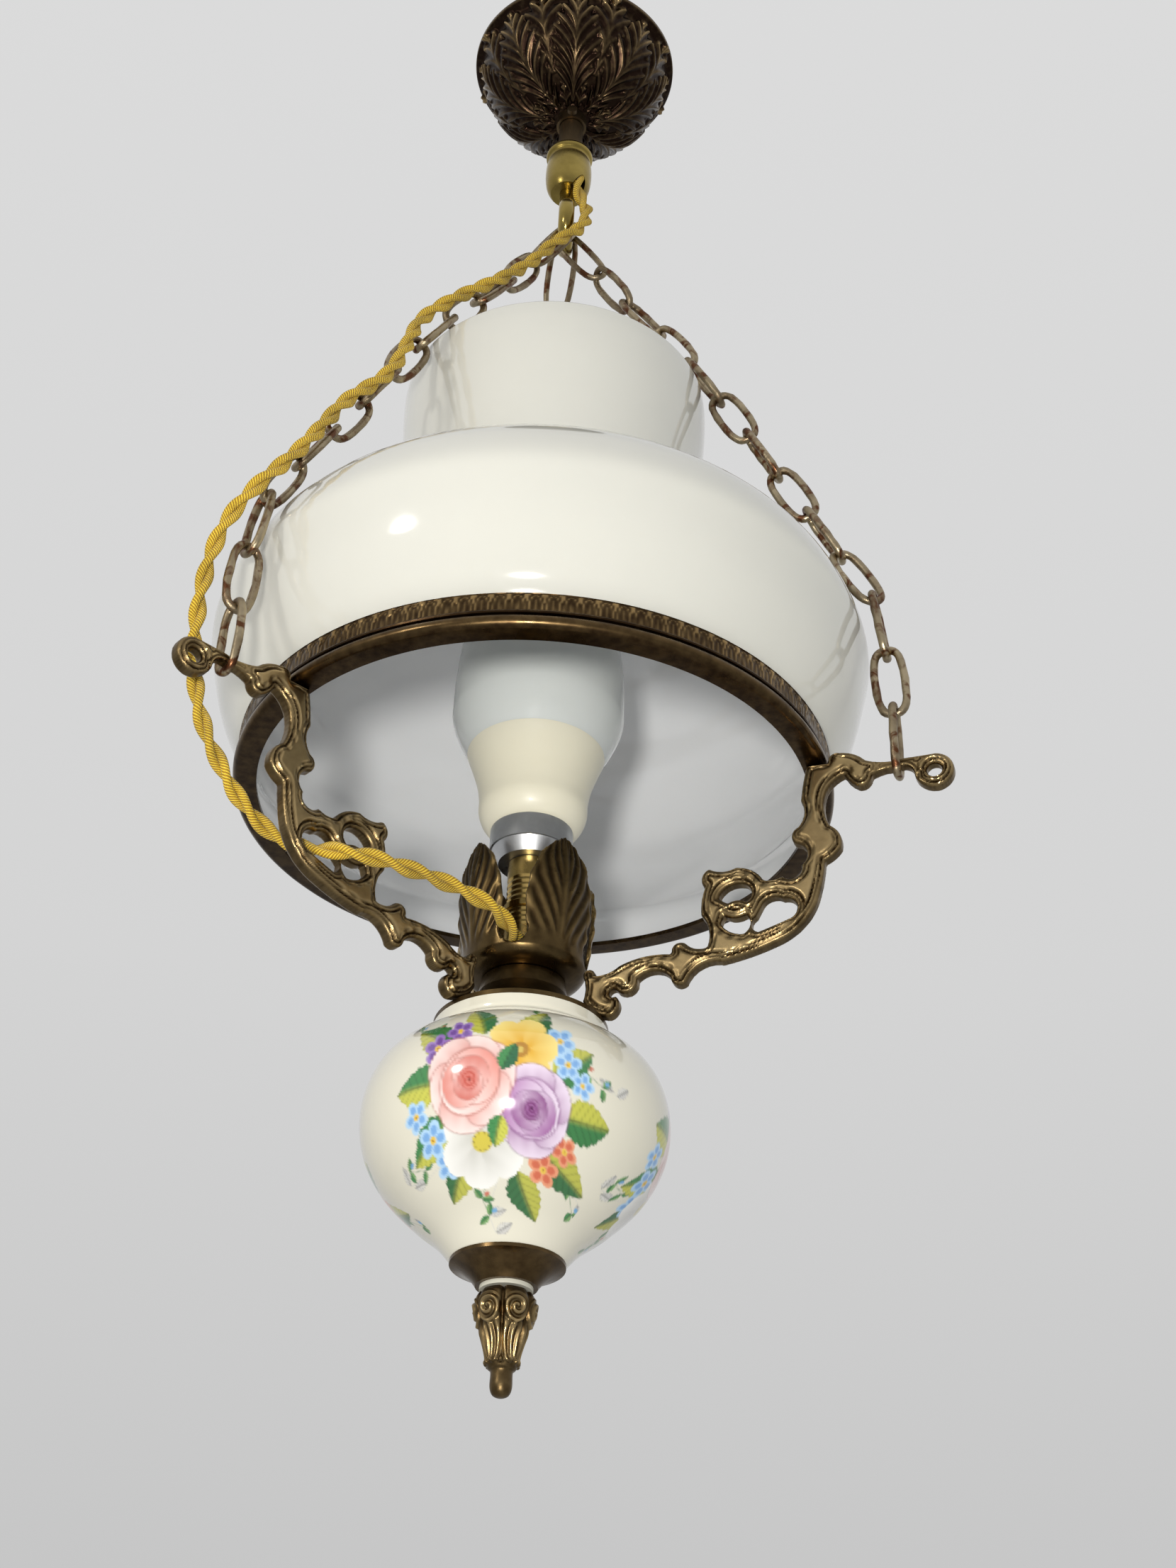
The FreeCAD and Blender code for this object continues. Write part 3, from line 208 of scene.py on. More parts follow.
# %% Other finishes
def glossy(name, colour, rough, coat, glow=0.0, patches=0.02):
    finish, tree, shader = new_finish(name, colour, 0.0, rough)
    shader.inputs["Coat Weight"].default_value = coat
    shader.inputs["Coat Roughness"].default_value = 0.05
    shader.inputs["Subsurface Weight"].default_value = glow
    shader.inputs["Subsurface Radius"].default_value = (0.012, 0.011, 0.010)
    shader.inputs["Subsurface Scale"].default_value = 1.0
    darker = tuple(part * (1 - patches) for part in colour)
    tone = mix(tree, speckle(tree, 24.0, 3.0), colour, darker)
    tree.links.new(tone, shader.inputs["Base Color"])
    return finish, tree, shader


opal_glass, tree, shader = glossy("Opal glass", (0.70, 0.69, 0.62), 0.10, 0.7, 0.12)
outer_tone = mix(tree, speckle(tree, 24.0, 3.0), (0.70, 0.69, 0.62), (0.66, 0.655, 0.59))
# The inner wall is given a lighter, cooler white than the outer wall: painted light on the inside of the
# dome.
painted_inside_light = (0.76, 0.77, 0.78)
tree.links.new(mix(tree, attribute(tree, "wear_and_painted_light"), outer_tone, painted_inside_light), shader.inputs["Base Color"])
globe_glass = glossy("Milky globe glass", (0.73, 0.76, 0.73), 0.14, 0.8, 0.2)[0]
cream_plastic = glossy("Cream moulded base", (0.80, 0.76, 0.60), 0.38, 0.15, 0.1)[0]
white_plastic = glossy("White plastic", (0.72, 0.71, 0.67), 0.45, 0.0)[0]
black_glass = glossy("Black glass", (0.012, 0.012, 0.014), 0.12, 0.5)[0]
gasket_rubber = glossy("Pale gasket", (0.62, 0.60, 0.50), 0.7, 0.0, 0.0, 0.2)[0]

porcelain, tree, shader = new_finish("Painted porcelain", (0.80, 0.77, 0.66), 0.0, 0.12)
tree.links.new(attribute(tree, "paint", "Color"), shader.inputs["Base Color"])
shader.inputs["Coat Weight"].default_value = 0.8
shader.inputs["Coat Roughness"].default_value = 0.04
bumps(tree, shader, speckle(tree, 90.0, 2.0), 0.00012)

silk, tree, shader = new_finish("Yellow twisted silk", (0.66, 0.42, 0.05), 0.0, 0.72)
along = tree.nodes.new("ShaderNodeUVMap")
along.uv_map = "strand"
weave = tree.nodes.new("ShaderNodeTexWave")
weave.bands_direction = "DIAGONAL"
weave.inputs["Scale"].default_value = 1.0
weave.inputs["Distortion"].default_value = 1.2
weave.inputs["Detail"].default_value = 2.0
tree.links.new(along.outputs["UV"], weave.inputs["Vector"])
thread = ramp(tree, weave.outputs["Fac"], [(0.1, (0.36, 0.19, 0.008)), (0.55, (0.74, 0.46, 0.018)),
                                          (0.95, (0.88, 0.64, 0.06))])
soiled = ramp(tree, speckle(tree, 70.0, 4.0), [(0.35, grey(0.55)), (0.6, grey(1.0))])
tree.links.new(mix(tree, 0.6, thread, soiled, "MULTIPLY"), shader.inputs["Base Color"])
shader.inputs["Sheen Weight"].default_value = 0.15
shader.inputs["Sheen Roughness"].default_value = 0.4
bumps(tree, shader, weave.outputs["Fac"], 0.00035)
print("glass, porcelain, plastic and silk made")


# %% [markdown]
# ## Helpers for turned pieces
# Most pieces are turned or spun on a lathe. Each starts as a circle primitive whose points are laid
# along the outline of its wall, and spinning that outline round the lamp's axis makes the piece.

# %% Turning a profile
def smooth_line(points, samples):
    # A smooth curve through the points, as evenly spaced samples.
    points = np.array(points, float)
    ends = np.vstack([2 * points[0] - points[1], points, 2 * points[-1] - points[-2]])
    dense = []
    for index in range(len(points) - 1):
        a, b, c, d = ends[index:index + 4]
        t = np.linspace(0, 1, 24, endpoint=False)[:, None]
        dense.append(0.5 * (2 * b + (c - a) * t + (2 * a - 5 * b + 4 * c - d) * t ** 2
                            + (3 * b - a - 3 * c + d) * t ** 3))
    dense = np.vstack(dense + [points[-1:]])
    steps = np.r_[0, np.cumsum(np.linalg.norm(np.diff(dense, axis=0), axis=1))]
    wanted = np.linspace(0, steps[-1], samples)
    return np.column_stack([np.interp(wanted, steps, dense[:, k]) for k in range(2)])


def inward(line, wall):
    # The same line moved sideways by one wall.
    along = np.gradient(line, axis=0)
    along /= np.linalg.norm(along, axis=1)[:, None]
    return line + np.column_stack([-along[:, 1], along[:, 0]]) * wall


def spun(name, outline, steps, finish, body, smooth=40.0):
    # outline: points (radius, height) in mm round the wall, closed.
    bpy.ops.object.select_all(action="DESELECT")
    bpy.ops.mesh.primitive_circle_add(vertices=len(outline), radius=1.0)
    piece = bpy.context.object
    piece.name = name
    for vertex, (radius, height) in zip(piece.data.vertices, outline):
        vertex.co = (max(radius, 0.0) * MM, 0, height * MM)
    bpy.ops.object.mode_set(mode="EDIT")
    bpy.ops.mesh.select_all(action="SELECT")
    bpy.ops.mesh.spin(steps=steps, angle=2 * math.pi, center=(0, 0, 0), axis=(0, 0, 1))
    bpy.ops.mesh.select_all(action="SELECT")
    bpy.ops.mesh.remove_doubles(threshold=0.000002)
    bpy.ops.mesh.normals_make_consistent(inside=False)
    bpy.ops.object.mode_set(mode="OBJECT")
    return dress(piece, finish, body, smooth)


def pick(piece):
    bpy.ops.object.select_all(action="DESELECT")
    piece.select_set(True)
    bpy.context.view_layer.objects.active = piece


def dress(piece, finish, body, smooth=40.0):
    piece.data.materials.clear()
    piece.data.materials.append(finish)
    pick(piece)
    bpy.ops.object.shade_smooth_by_angle(angle=math.radians(smooth))
    if body:
        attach(piece, body)
    print(piece.name, "faces", len(piece.data.polygons))
    return piece


def read(rows, key):
    flat = np.empty(len(rows) * 3)
    rows.foreach_get(key, flat)
    return flat.reshape(-1, 3)


def points_of(piece):
    return read(piece.data.vertices, "co")


def normals_of(piece):
    return read(piece.data.vertex_normals, "vector")


def mark_wear_and_painted_light(piece, wear_and_painted_light):
    # Keeps a number from 0 to 1 on every point, which the finish reads.
    mark = piece.data.attributes.new("wear_and_painted_light", "FLOAT", "POINT")
    mark.data.foreach_set("value", np.clip(wear_and_painted_light, 0, 1).astype(np.float32))


def emboss(piece, height, wear_and_painted_light):
    # Moves every point outwards by a height in mm, and keeps its wear and painted light value for the finish.
    moved = points_of(piece) + normals_of(piece) * (height * MM)[:, None]
    piece.data.vertices.foreach_set("co", moved.ravel())
    piece.data.update()
    mark_wear_and_painted_light(piece, wear_and_painted_light)


def cylinder_places(piece):
    # Radius and height in mm, and the angle round the axis, of every point.
    places = points_of(piece) / MM
    return np.hypot(places[:, 0], places[:, 1]), places[:, 2], np.arctan2(places[:, 1], places[:, 0])


def along_line(line):
    # The line's heights, radii and lengths from its start, in the order of height.
    steps = np.r_[0, np.cumsum(np.linalg.norm(np.diff(line, axis=0), axis=1))]
    order = np.argsort(line[:, 1])
    return line[order, 1], line[order, 0], steps[order]


def soft(value, edge=1.0):
    value = np.clip(value / edge, 0, 1)
    return value * value * (3 - 2 * value)


# %% [markdown]
# ## The glass dome
# The dome was blown into a mould: one even wall with a soft shoulder, a waist and a flared neck with a
# rounded lip. A smooth line through the outline's points gives the wall without any facets.

# %% Glass dome
SHADE_R, SHADE_H, SHADE_FOOT, SHADE_WALL = 140.7, 222.7, RING_Z + 2.3, 3.0
shade_shares = [
    (0.852, 0.000), (0.852, 0.034), (0.8535, 0.0625), (0.897, 0.098), (0.954, 0.170), (0.990, 0.255),
    (1.000, 0.302), (0.972, 0.358), (0.934, 0.401), (0.881, 0.437), (0.817, 0.463), (0.759, 0.486),
    (0.709, 0.513), (0.652, 0.537), (0.588, 0.556), (0.508, 0.583), (0.466, 0.620), (0.465, 0.700),
    (0.481, 0.800), (0.498, 0.890), (0.503, 0.960), (0.499, 1.000),
]
outer = smooth_line([(SHADE_R * r, SHADE_FOOT + SHADE_H * z) for r, z in shade_shares], 150)
inner = inward(outer, SHADE_WALL)
inner[0, 1] = SHADE_FOOT
lip_centre = (outer[-1] + inner[-1]) / 2
turns = np.linspace(0, math.pi, 9)[1:-1]
lip_rise = np.array([0, SHADE_WALL / 2])
lip = [lip_centre + (outer[-1] - lip_centre) * math.cos(t) + lip_rise * math.sin(t) for t in turns]
dome = spun("Glass_dome", np.vstack([outer, lip, inner[::-3], inner[:1]]), 256, opal_glass, "shade", 60)
radius, height, _ = cylinder_places(dome)
# Marks the inner wall, which the glass finish paints lighter and cooler as painted light.
inside = radius < np.interp(height, outer[:, 1], outer[:, 0]) - SHADE_WALL / 2
mark_wear_and_painted_light(dome, inside.astype(float))
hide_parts("glass_shade")


# %% [markdown]
# ## The gallery ring
# The ring is rolled from sheet: a band with a row of small pressed arches, a groove, and a bead
# below that carries a painted highlight. The arches are pressed into the band by a height that repeats round
# the ring.

# %% Gallery ring
RING_R, LEDGE_R, BEAD_R, MOTIFS = 121.98, 114.0, 2.9, 116
band = [(RING_R, 6.2), (RING_R + 0.2, 6.0), (RING_R + 1.0, 6.3), (RING_R + 1.15, 7.0)]
band += [(RING_R + 1.0, 7.0 + 8.2 * k / 24) for k in range(1, 24)]
band += [(RING_R + 1.2, 15.2), (RING_R + 0.8, 15.5), (RING_R - 1.2, 15.5), (RING_R - 1.4, 15.3),
         (RING_R - 1.4, 2.2), (RING_R - 1.8, 2.0), (LEDGE_R + 0.2, 2.0), (LEDGE_R, 1.8),
         (LEDGE_R, 0.2), (LEDGE_R + 0.2, 0.0)]
bead_turns = np.linspace(-math.pi / 2, math.pi / 2, 15)
band += [(RING_R - 0.9 + BEAD_R * math.cos(t), BEAD_R + BEAD_R * math.sin(t)) for t in bead_turns]
ring = spun("Gallery_ring", [(r, RING_Z + z) for r, z in band], 960, dark_brass, None, 35)
radius, height, angle = cylinder_places(ring)
height = height - RING_Z
place = (angle / (2 * math.pi) * MOTIFS) % 1 - 0.5
rise = (height - 7.6) / 6.6
on_band = soft(radius - RING_R - 0.5, 0.3) * soft(height - 7.2, 0.6) * soft(15.0 - height, 0.6)
arch_half = 0.37 * np.sqrt(np.clip(1 - np.clip(rise, 0, 1) ** 2.4, 0, 1))
edge_line = np.exp(-((np.abs(place) - arch_half) / 0.055) ** 2) * (rise < 1.0)
spine = soft(0.13 - np.abs(place) - 0.10 * rise, 0.06) * (rise < 0.72)
between = soft(0.02 + 0.30 * (rise - 0.45) - (0.5 - np.abs(place)), 0.05) * (rise > 0.45)
pattern = np.clip(edge_line * 0.9 + spine * 0.55 + between, 0, 1) * on_band
# A painted highlight along the lower outer side of the bead, and a darker painted band in the groove above
# it.
bead_painted_highlight = soft(5.6 - height, 1.0) * soft(radius - RING_R - 0.6, 0.8)
worn = 0.30 + 0.66 * pattern + 0.20 * bead_painted_highlight - 0.20 * (height > 6) * (height < 7)
emboss(ring, (pattern - 0.5) * 0.42 * on_band, worn)
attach(ring, "lamp")
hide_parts("gallery_ring")


# %% [markdown]
# ## The canopy
# The canopy is a thin bowl stamped with acanthus leaves in three tiers, darkened in the hollows and
# rubbed bright on the veins. Leaves are drawn as heights on a finely spun bowl: each has a lobed
# outline, a rib and side veins, and the tiers overlap like tiles.

# %% Acanthus leaves
def acanthus(angle, share, count, start, end, turn, width, lobes):
    # Height, and wear with painted highlight, of one tier of leaves: angle round the bowl, share from its
    # foot to its rim.
    across = np.abs(((angle / (2 * math.pi) * count + turn) % 1 - 0.5) * 2)
    up = (share - start) / (end - start)
    inside = (up > 0) & (up < 1)
    up = np.clip(up, 0, 1)
    outline = width * np.sin(math.pi * np.clip(up, 0.02, 1) ** 0.70) ** 0.50
    long = 1.0 if lobes > 2 else 0.0
    sweep = lobes * (up - 0.42 * np.clip(across, 0.001, 1) ** 0.62)
    cut = 0.5 + 0.5 * np.cos(2 * math.pi * sweep)
    outline = outline * (1 - 0.34 * cut ** 2 * (up > 0.12))
    body = soft(outline - across, 0.12) * inside
    rib = np.exp(-(across / (0.07 + 0.05 * (1 - up))) ** 2)
    fold = 0.5 - 0.5 * np.cos(2 * math.pi * sweep)
    fine = 0.5 - 0.5 * np.cos(6 * math.pi * sweep)
    tips = soft(up - 0.66, 0.30) * fold * long
    height = body * (0.30 + 0.40 * rib + (0.50 * fold + 0.14 * fine * fold) * (1 - rib) + 0.16 * tips)
    # The curled tips are painted lighter, partly as wear and partly as a painted highlight.
    wear_and_highlight = body * (0.12 + 0.20 * rib + 0.22 * fold ** 2 + 0.16 * fine * fold * up
                   + 0.62 * tips * (0.4 + 0.6 * fine))
    return height, wear_and_highlight, body


CANOPY_R, CANOPY_D, CANOPY_TOP, CANOPY_WALL, CANOPY_BORE = 53.0, 41.2, -4.8, 1.6, 6.5
canopy_shares = [
    (1.000, 0.000), (0.992, 0.075), (0.930, 0.120), (0.905, 0.230), (0.860, 0.400), (0.770, 0.590),
    (0.640, 0.760), (0.470, 0.890), (0.300, 0.965), (0.160, 1.000),
]
bowl = smooth_line([(CANOPY_R * r, CANOPY_TOP - CANOPY_D * z) for r, z in canopy_shares], 110)
bowl_inner = inward(bowl, -CANOPY_WALL)
bowl_inner[0] = (bowl_inner[0, 0], CANOPY_TOP)
bore_edge = [(CANOPY_BORE, bowl[-1, 1]), (CANOPY_BORE, bowl[-1, 1] + CANOPY_WALL)]
bowl_wall = np.vstack([bowl, bore_edge, bowl_inner[::-4], bowl_inner[:1]])
canopy = spun("Embossed_canopy", bowl_wall, 560, canopy_brass, None, 50)
radius, height, angle = cylinder_places(canopy)
heights, radii, lengths = along_line(bowl)
share = 1 - np.interp(height, heights, lengths) / lengths.max()
outside = radius > np.interp(height, heights, radii) - 0.4
lift, wear_and_highlight = np.zeros(len(radius)), np.full(len(radius), 0.04)
# Each tier: leaves round the bowl, start, end, turn, width and lobes.
tiers = (8, 0.30, 0.97, 0.0, 0.96, 5), (8, 0.05, 0.93, 0.5, 1.00, 7), (12, 0.01, 0.20, 0.0, 0.90, 2)
for tier in tiers:
    leaf_lift, leaf_wear_and_highlight, leaf = acanthus(angle, share, *tier)
    lift = lift * (1 - leaf) + (leaf_lift + 0.12) * leaf
    wear_and_highlight = wear_and_highlight * (1 - leaf) + leaf_wear_and_highlight * leaf
rim = soft(share - 0.955, 0.02)
lift = (lift - 0.50) * 2.0 * outside * (1 - rim) * soft(share, 0.03)
emboss(canopy, lift, np.where(outside, wear_and_highlight * (1 - rim) + 0.45 * rim, 0.25))
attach(canopy, "canopy")
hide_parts("canopy")


# %% [markdown]
# ## The scroll arms
# Each arm is a flat casting, but its strokes are round and fluted. A copy of the solid is rebuilt as
# an even skin with a remesh, and its thickness then follows the distance to the nearest edge, with
# soft grooves beside each edge. The other two arms are the same casting turned by 120 degrees.

# %% Scroll arms
def merged_copy(node, name):
    piece = bpy.data.objects.new(name, frame_node(node).data.copy())
    bpy.context.scene.collection.objects.link(piece)
    shell = bmesh.new()
    shell.from_mesh(piece.data)
    bmesh.ops.remove_doubles(shell, verts=shell.verts, dist=0.000002)
    shell.to_mesh(piece.data)
    shell.free()
    return piece


def frame_node(node):
    return next(thing for thing in bpy.data.objects if thing.type == "MESH" and thing.name == node)


def applied(piece, kind, **settings):
    pick(piece)
    modifier = piece.modifiers.new(kind.title(), kind)
    for key, value in settings.items():
        setattr(modifier, key, value)
    bpy.ops.object.modifier_apply(modifier=modifier.name)


ARM_AZIMUTHS = {"right": -20.6, "left": -140.6, "back": 99.4}
ARM_HALF, ARM_EDGE_HALF, WAIST_HALF, ARM_SKIN_HALF = 4.0, 2.8, 2.5, 1.2
WAIST_X, WAIST_REACH, DOME_DEPTH = 151.98, 8.6, 3.6
SHARP_ANGLE, EDGE_STEP = 0.7, 0.35
arm = merged_copy("arm_right", "Scroll_arm_right")
arm.data.transform(Matrix.Rotation(math.radians(-ARM_AZIMUTHS["right"]), 4, "Z"))
shell = bmesh.new()
shell.from_mesh(arm.data)
edge_points = []
for edge in shell.edges:
    a, b = (vertex.co for vertex in edge.verts)
    near_side = (min(abs(a.y), abs(b.y)) > (WAIST_HALF - 0.1) * MM
                 and max(abs(a.y), abs(b.y)) < (ARM_EDGE_HALF + 0.1) * MM)
    if near_side and a.y * b.y > 0 and len(edge.link_faces) == 2:
        if edge.calc_face_angle() > SHARP_ANGLE and edge.is_convex:
            count = max(int((b - a).length / (EDGE_STEP * MM)), 1)
            edge_points += [a.lerp(b, k / count) for k in range(count + 1)]
for vertex in shell.verts:
    vertex.co.y = min(max(vertex.co.y, -ARM_EDGE_HALF * MM), ARM_EDGE_HALF * MM)
shell.to_mesh(arm.data)
shell.free()
edges_near = KDTree(len(edge_points))
for index, point in enumerate(edge_points):
    edges_near.insert((point.x, 0, point.z), index)
edges_near.balance()
applied(arm, "REMESH", mode="VOXEL", voxel_size=0.0005)
applied(arm, "SMOOTH", factor=0.5, iterations=3)
places = points_of(arm)
depth = np.array([edges_near.find((x, 0, z))[2] for x, y, z in places]) / MM
in_waist = np.abs(places[:, 0] / MM - WAIST_X) < WAIST_REACH
dome_shape = np.sqrt(np.clip(1 - (1 - np.clip(depth / DOME_DEPTH, 0, 1)) ** 2, 0, 1))
across_x, across_z = places[:, 0] / MM, places[:, 2] / MM
fade = soft(0.5 + 0.5 * np.sin(0.21 * across_x + 0.13 * across_z + 0.8 * np.sin(0.09 * across_z)))
flute = (0.55 + 0.65 * fade) * np.exp(-((depth - 1.5) / 0.40) ** 2)
flute += (1.25 - 0.95 * fade) * np.exp(-((depth - 3.0) / 0.48) ** 2)
nicks = 0.34 * np.sin(1.1 * across_x - 0.7 * across_z) * fade * np.exp(-((depth - 2.6) / 0.9) ** 2)
half = ARM_SKIN_HALF + (ARM_HALF - ARM_SKIN_HALF) * dome_shape - flute + nicks
full = np.where(in_waist, WAIST_HALF, ARM_EDGE_HALF)
places[:, 1] *= np.minimum(half, np.where(in_waist, WAIST_HALF, ARM_HALF)) / full
arm.data.vertices.foreach_set("co", places.ravel())
# Each stroke is painted lighter along its rounded middle, partly as wear and partly as a painted highlight,
# and darker in its flutes.
mark_wear_and_painted_light(arm, 0.34 + 0.66 * dome_shape - 0.75 * flute + 0.6 * nicks)
applied(arm, "SMOOTH", factor=0.4, iterations=1)
print("arm outline points", len(edge_points), "deepest", round(float(depth.max()), 2), "mm")
for side in ("left", "back"):
    casting = bpy.data.objects.new("Scroll_arm_" + side, arm.data.copy())
    bpy.context.scene.collection.objects.link(casting)
for side, azimuth in ARM_AZIMUTHS.items():
    casting = bpy.data.objects["Scroll_arm_" + side]
    casting.data.transform(Matrix.Rotation(math.radians(azimuth), 4, "Z"))
    dress(casting, cast_brass, "lamp", 50)
    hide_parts("arm_" + side)


# %% [markdown]
# ## The leaf cup
# Four pointed leaves rise round the lampholder. Their veins run from the foot to the tip, side by
# side with the outline, so the height of the skin follows the share of each leaf's half width.

# %% Leaf cup
CUP_FLOOR, CUP_H, NOTCH_AT, LEAF_SPAN = RING_Z - 82.0, 57.0, -102.0, 90
cup = merged_copy("leaf_cup", "Leaf_cup")
applied(cup, "REMESH", mode="VOXEL", voxel_size=0.0006)
applied(cup, "SMOOTH", factor=0.5, iterations=3)
radius, height, angle = cylinder_places(cup)
up = (height - CUP_FLOOR) / CUP_H
from_notch = (np.degrees(angle) - NOTCH_AT) % LEAF_SPAN
from_leaf = np.abs(from_notch - LEAF_SPAN / 2) / (LEAF_SPAN / 2)
notch = np.interp(up, [0, 0.1, 0.2, 0.60, 0.78, 0.93, 1.0], [0, 0, 5.4, 5.94, 9.2, 14.3, 17.9]) / 19.4
across = np.clip(from_leaf / np.clip(1.0 - notch, 0.04, 1), 0, 1)
veins = np.cos(2 * math.pi * (5.5 * up - 3.4 * across ** 0.75)) * soft(across - 0.05, 0.2)
spine = np.exp(-(across / 0.07) ** 2)
outside = radius > np.interp(up, [0, 0.09, 0.24, 0.45, 0.6, 0.78, 0.9, 1.0],
                             [16.5, 24.9, 25.8, 27.1, 27.5, 27.1, 26.1, 25.0]) - 0.8
on_leaf = soft(up - 0.12, 0.15)
lift = (0.42 * veins + 0.4 * spine) * on_leaf
roll = soft(across - 0.88, 0.12) * soft(up - 0.2, 0.1)
emboss(cup, np.where(outside, lift * 0.85 - 0.35 + 0.35 * roll, 0.1 * lift),
       0.46 + 0.28 * veins * on_leaf + 0.25 * spine * on_leaf + 0.45 * roll)
dress(cup, leaf_brass, "lamp", 60)
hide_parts("leaf_cup")


# %% [markdown]
# ## The chains
# Every link is a closed ring of rod, bent with six soft corners and left a little rough. The measured
# links are flat faceted, so their faces are joined to quads and subdivided, which rounds the rod.
# The rods are a little thicker than the measured ones, but not at the hook that the top links hang on.

# %% Chains
def hammered(places, size):
    # A shallow, uneven dent pattern that gives the same result each run.
    ways = np.array([1.9, 0.7, -1.1]), np.array([-0.8, 1.7, 0.9])
    return sum(np.sin(places @ way / size) for way in ways) * 0.5


TOP_LINKS_Z = -175.0
for side in ARM_AZIMUTHS:
    links = merged_copy("chain_" + side, "Chain_rods_" + side)
    shell = bmesh.new()
    shell.from_mesh(links.data)
    bmesh.ops.join_triangles(shell, faces=shell.faces, angle_face_threshold=0.05, angle_shape_threshold=3.1)
    shell.to_mesh(links.data)
    shell.free()
    applied(links, "SUBSURF", levels=2, render_levels=2)
    dents = 0.24 + 0.16 * hammered(points_of(links) / MM, 2.0)
    dents *= np.where(points_of(links)[:, 2] / MM > TOP_LINKS_Z, 0.2, 1.0)
    moved = points_of(links) + normals_of(links) * dents[:, None] * MM
    links.data.vertices.foreach_set("co", moved.ravel())
    dress(links, chain_metal, "lamp", 60)
    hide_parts("chain_" + side)


# %% [markdown]
# ## The porcelain drop
# The drop is a glazed porcelain onion. Its three bouquets are of a common kind: full roses, a pale
# open flower, small blue ones and leaves. They are painted in layers, from the back to the front,
# as colours on the points of a fine mesh, with soft edges like those of a fired transfer.

# %% Porcelain body
BODY_R, BODY_H, BODY_WALL, BODY_BORE, NECK_H = 58.5, 93.0, 4.0, 5.4, 22.0
BODY_FOOT = CUP_FLOOR - NECK_H - BODY_H
body_shares = [
    (0.581, 1.000), (0.585, 0.960), (0.590, 0.935), (0.680, 0.900), (0.840, 0.830), (0.950, 0.730),
    (1.000, 0.590), (0.968, 0.440), (0.850, 0.300), (0.665, 0.180), (0.480, 0.085), (0.360, 0.000),
]
outer = smooth_line([(BODY_R * r, BODY_FOOT + BODY_H * z) for r, z in body_shares], 190)
inner = inward(outer, -BODY_WALL)
inner[0, 1] = outer[0, 1]
inner[-1, 1] = BODY_FOOT + BODY_WALL
bore_edge = [(BODY_BORE, BODY_FOOT), (BODY_BORE, BODY_FOOT + BODY_WALL)]
wall = np.vstack([outer, bore_edge, inner[::-16], inner[:1]])
drop = spun("Porcelain_drop", wall, 440, porcelain, "lamp", 60)
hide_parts("porcelain_body")


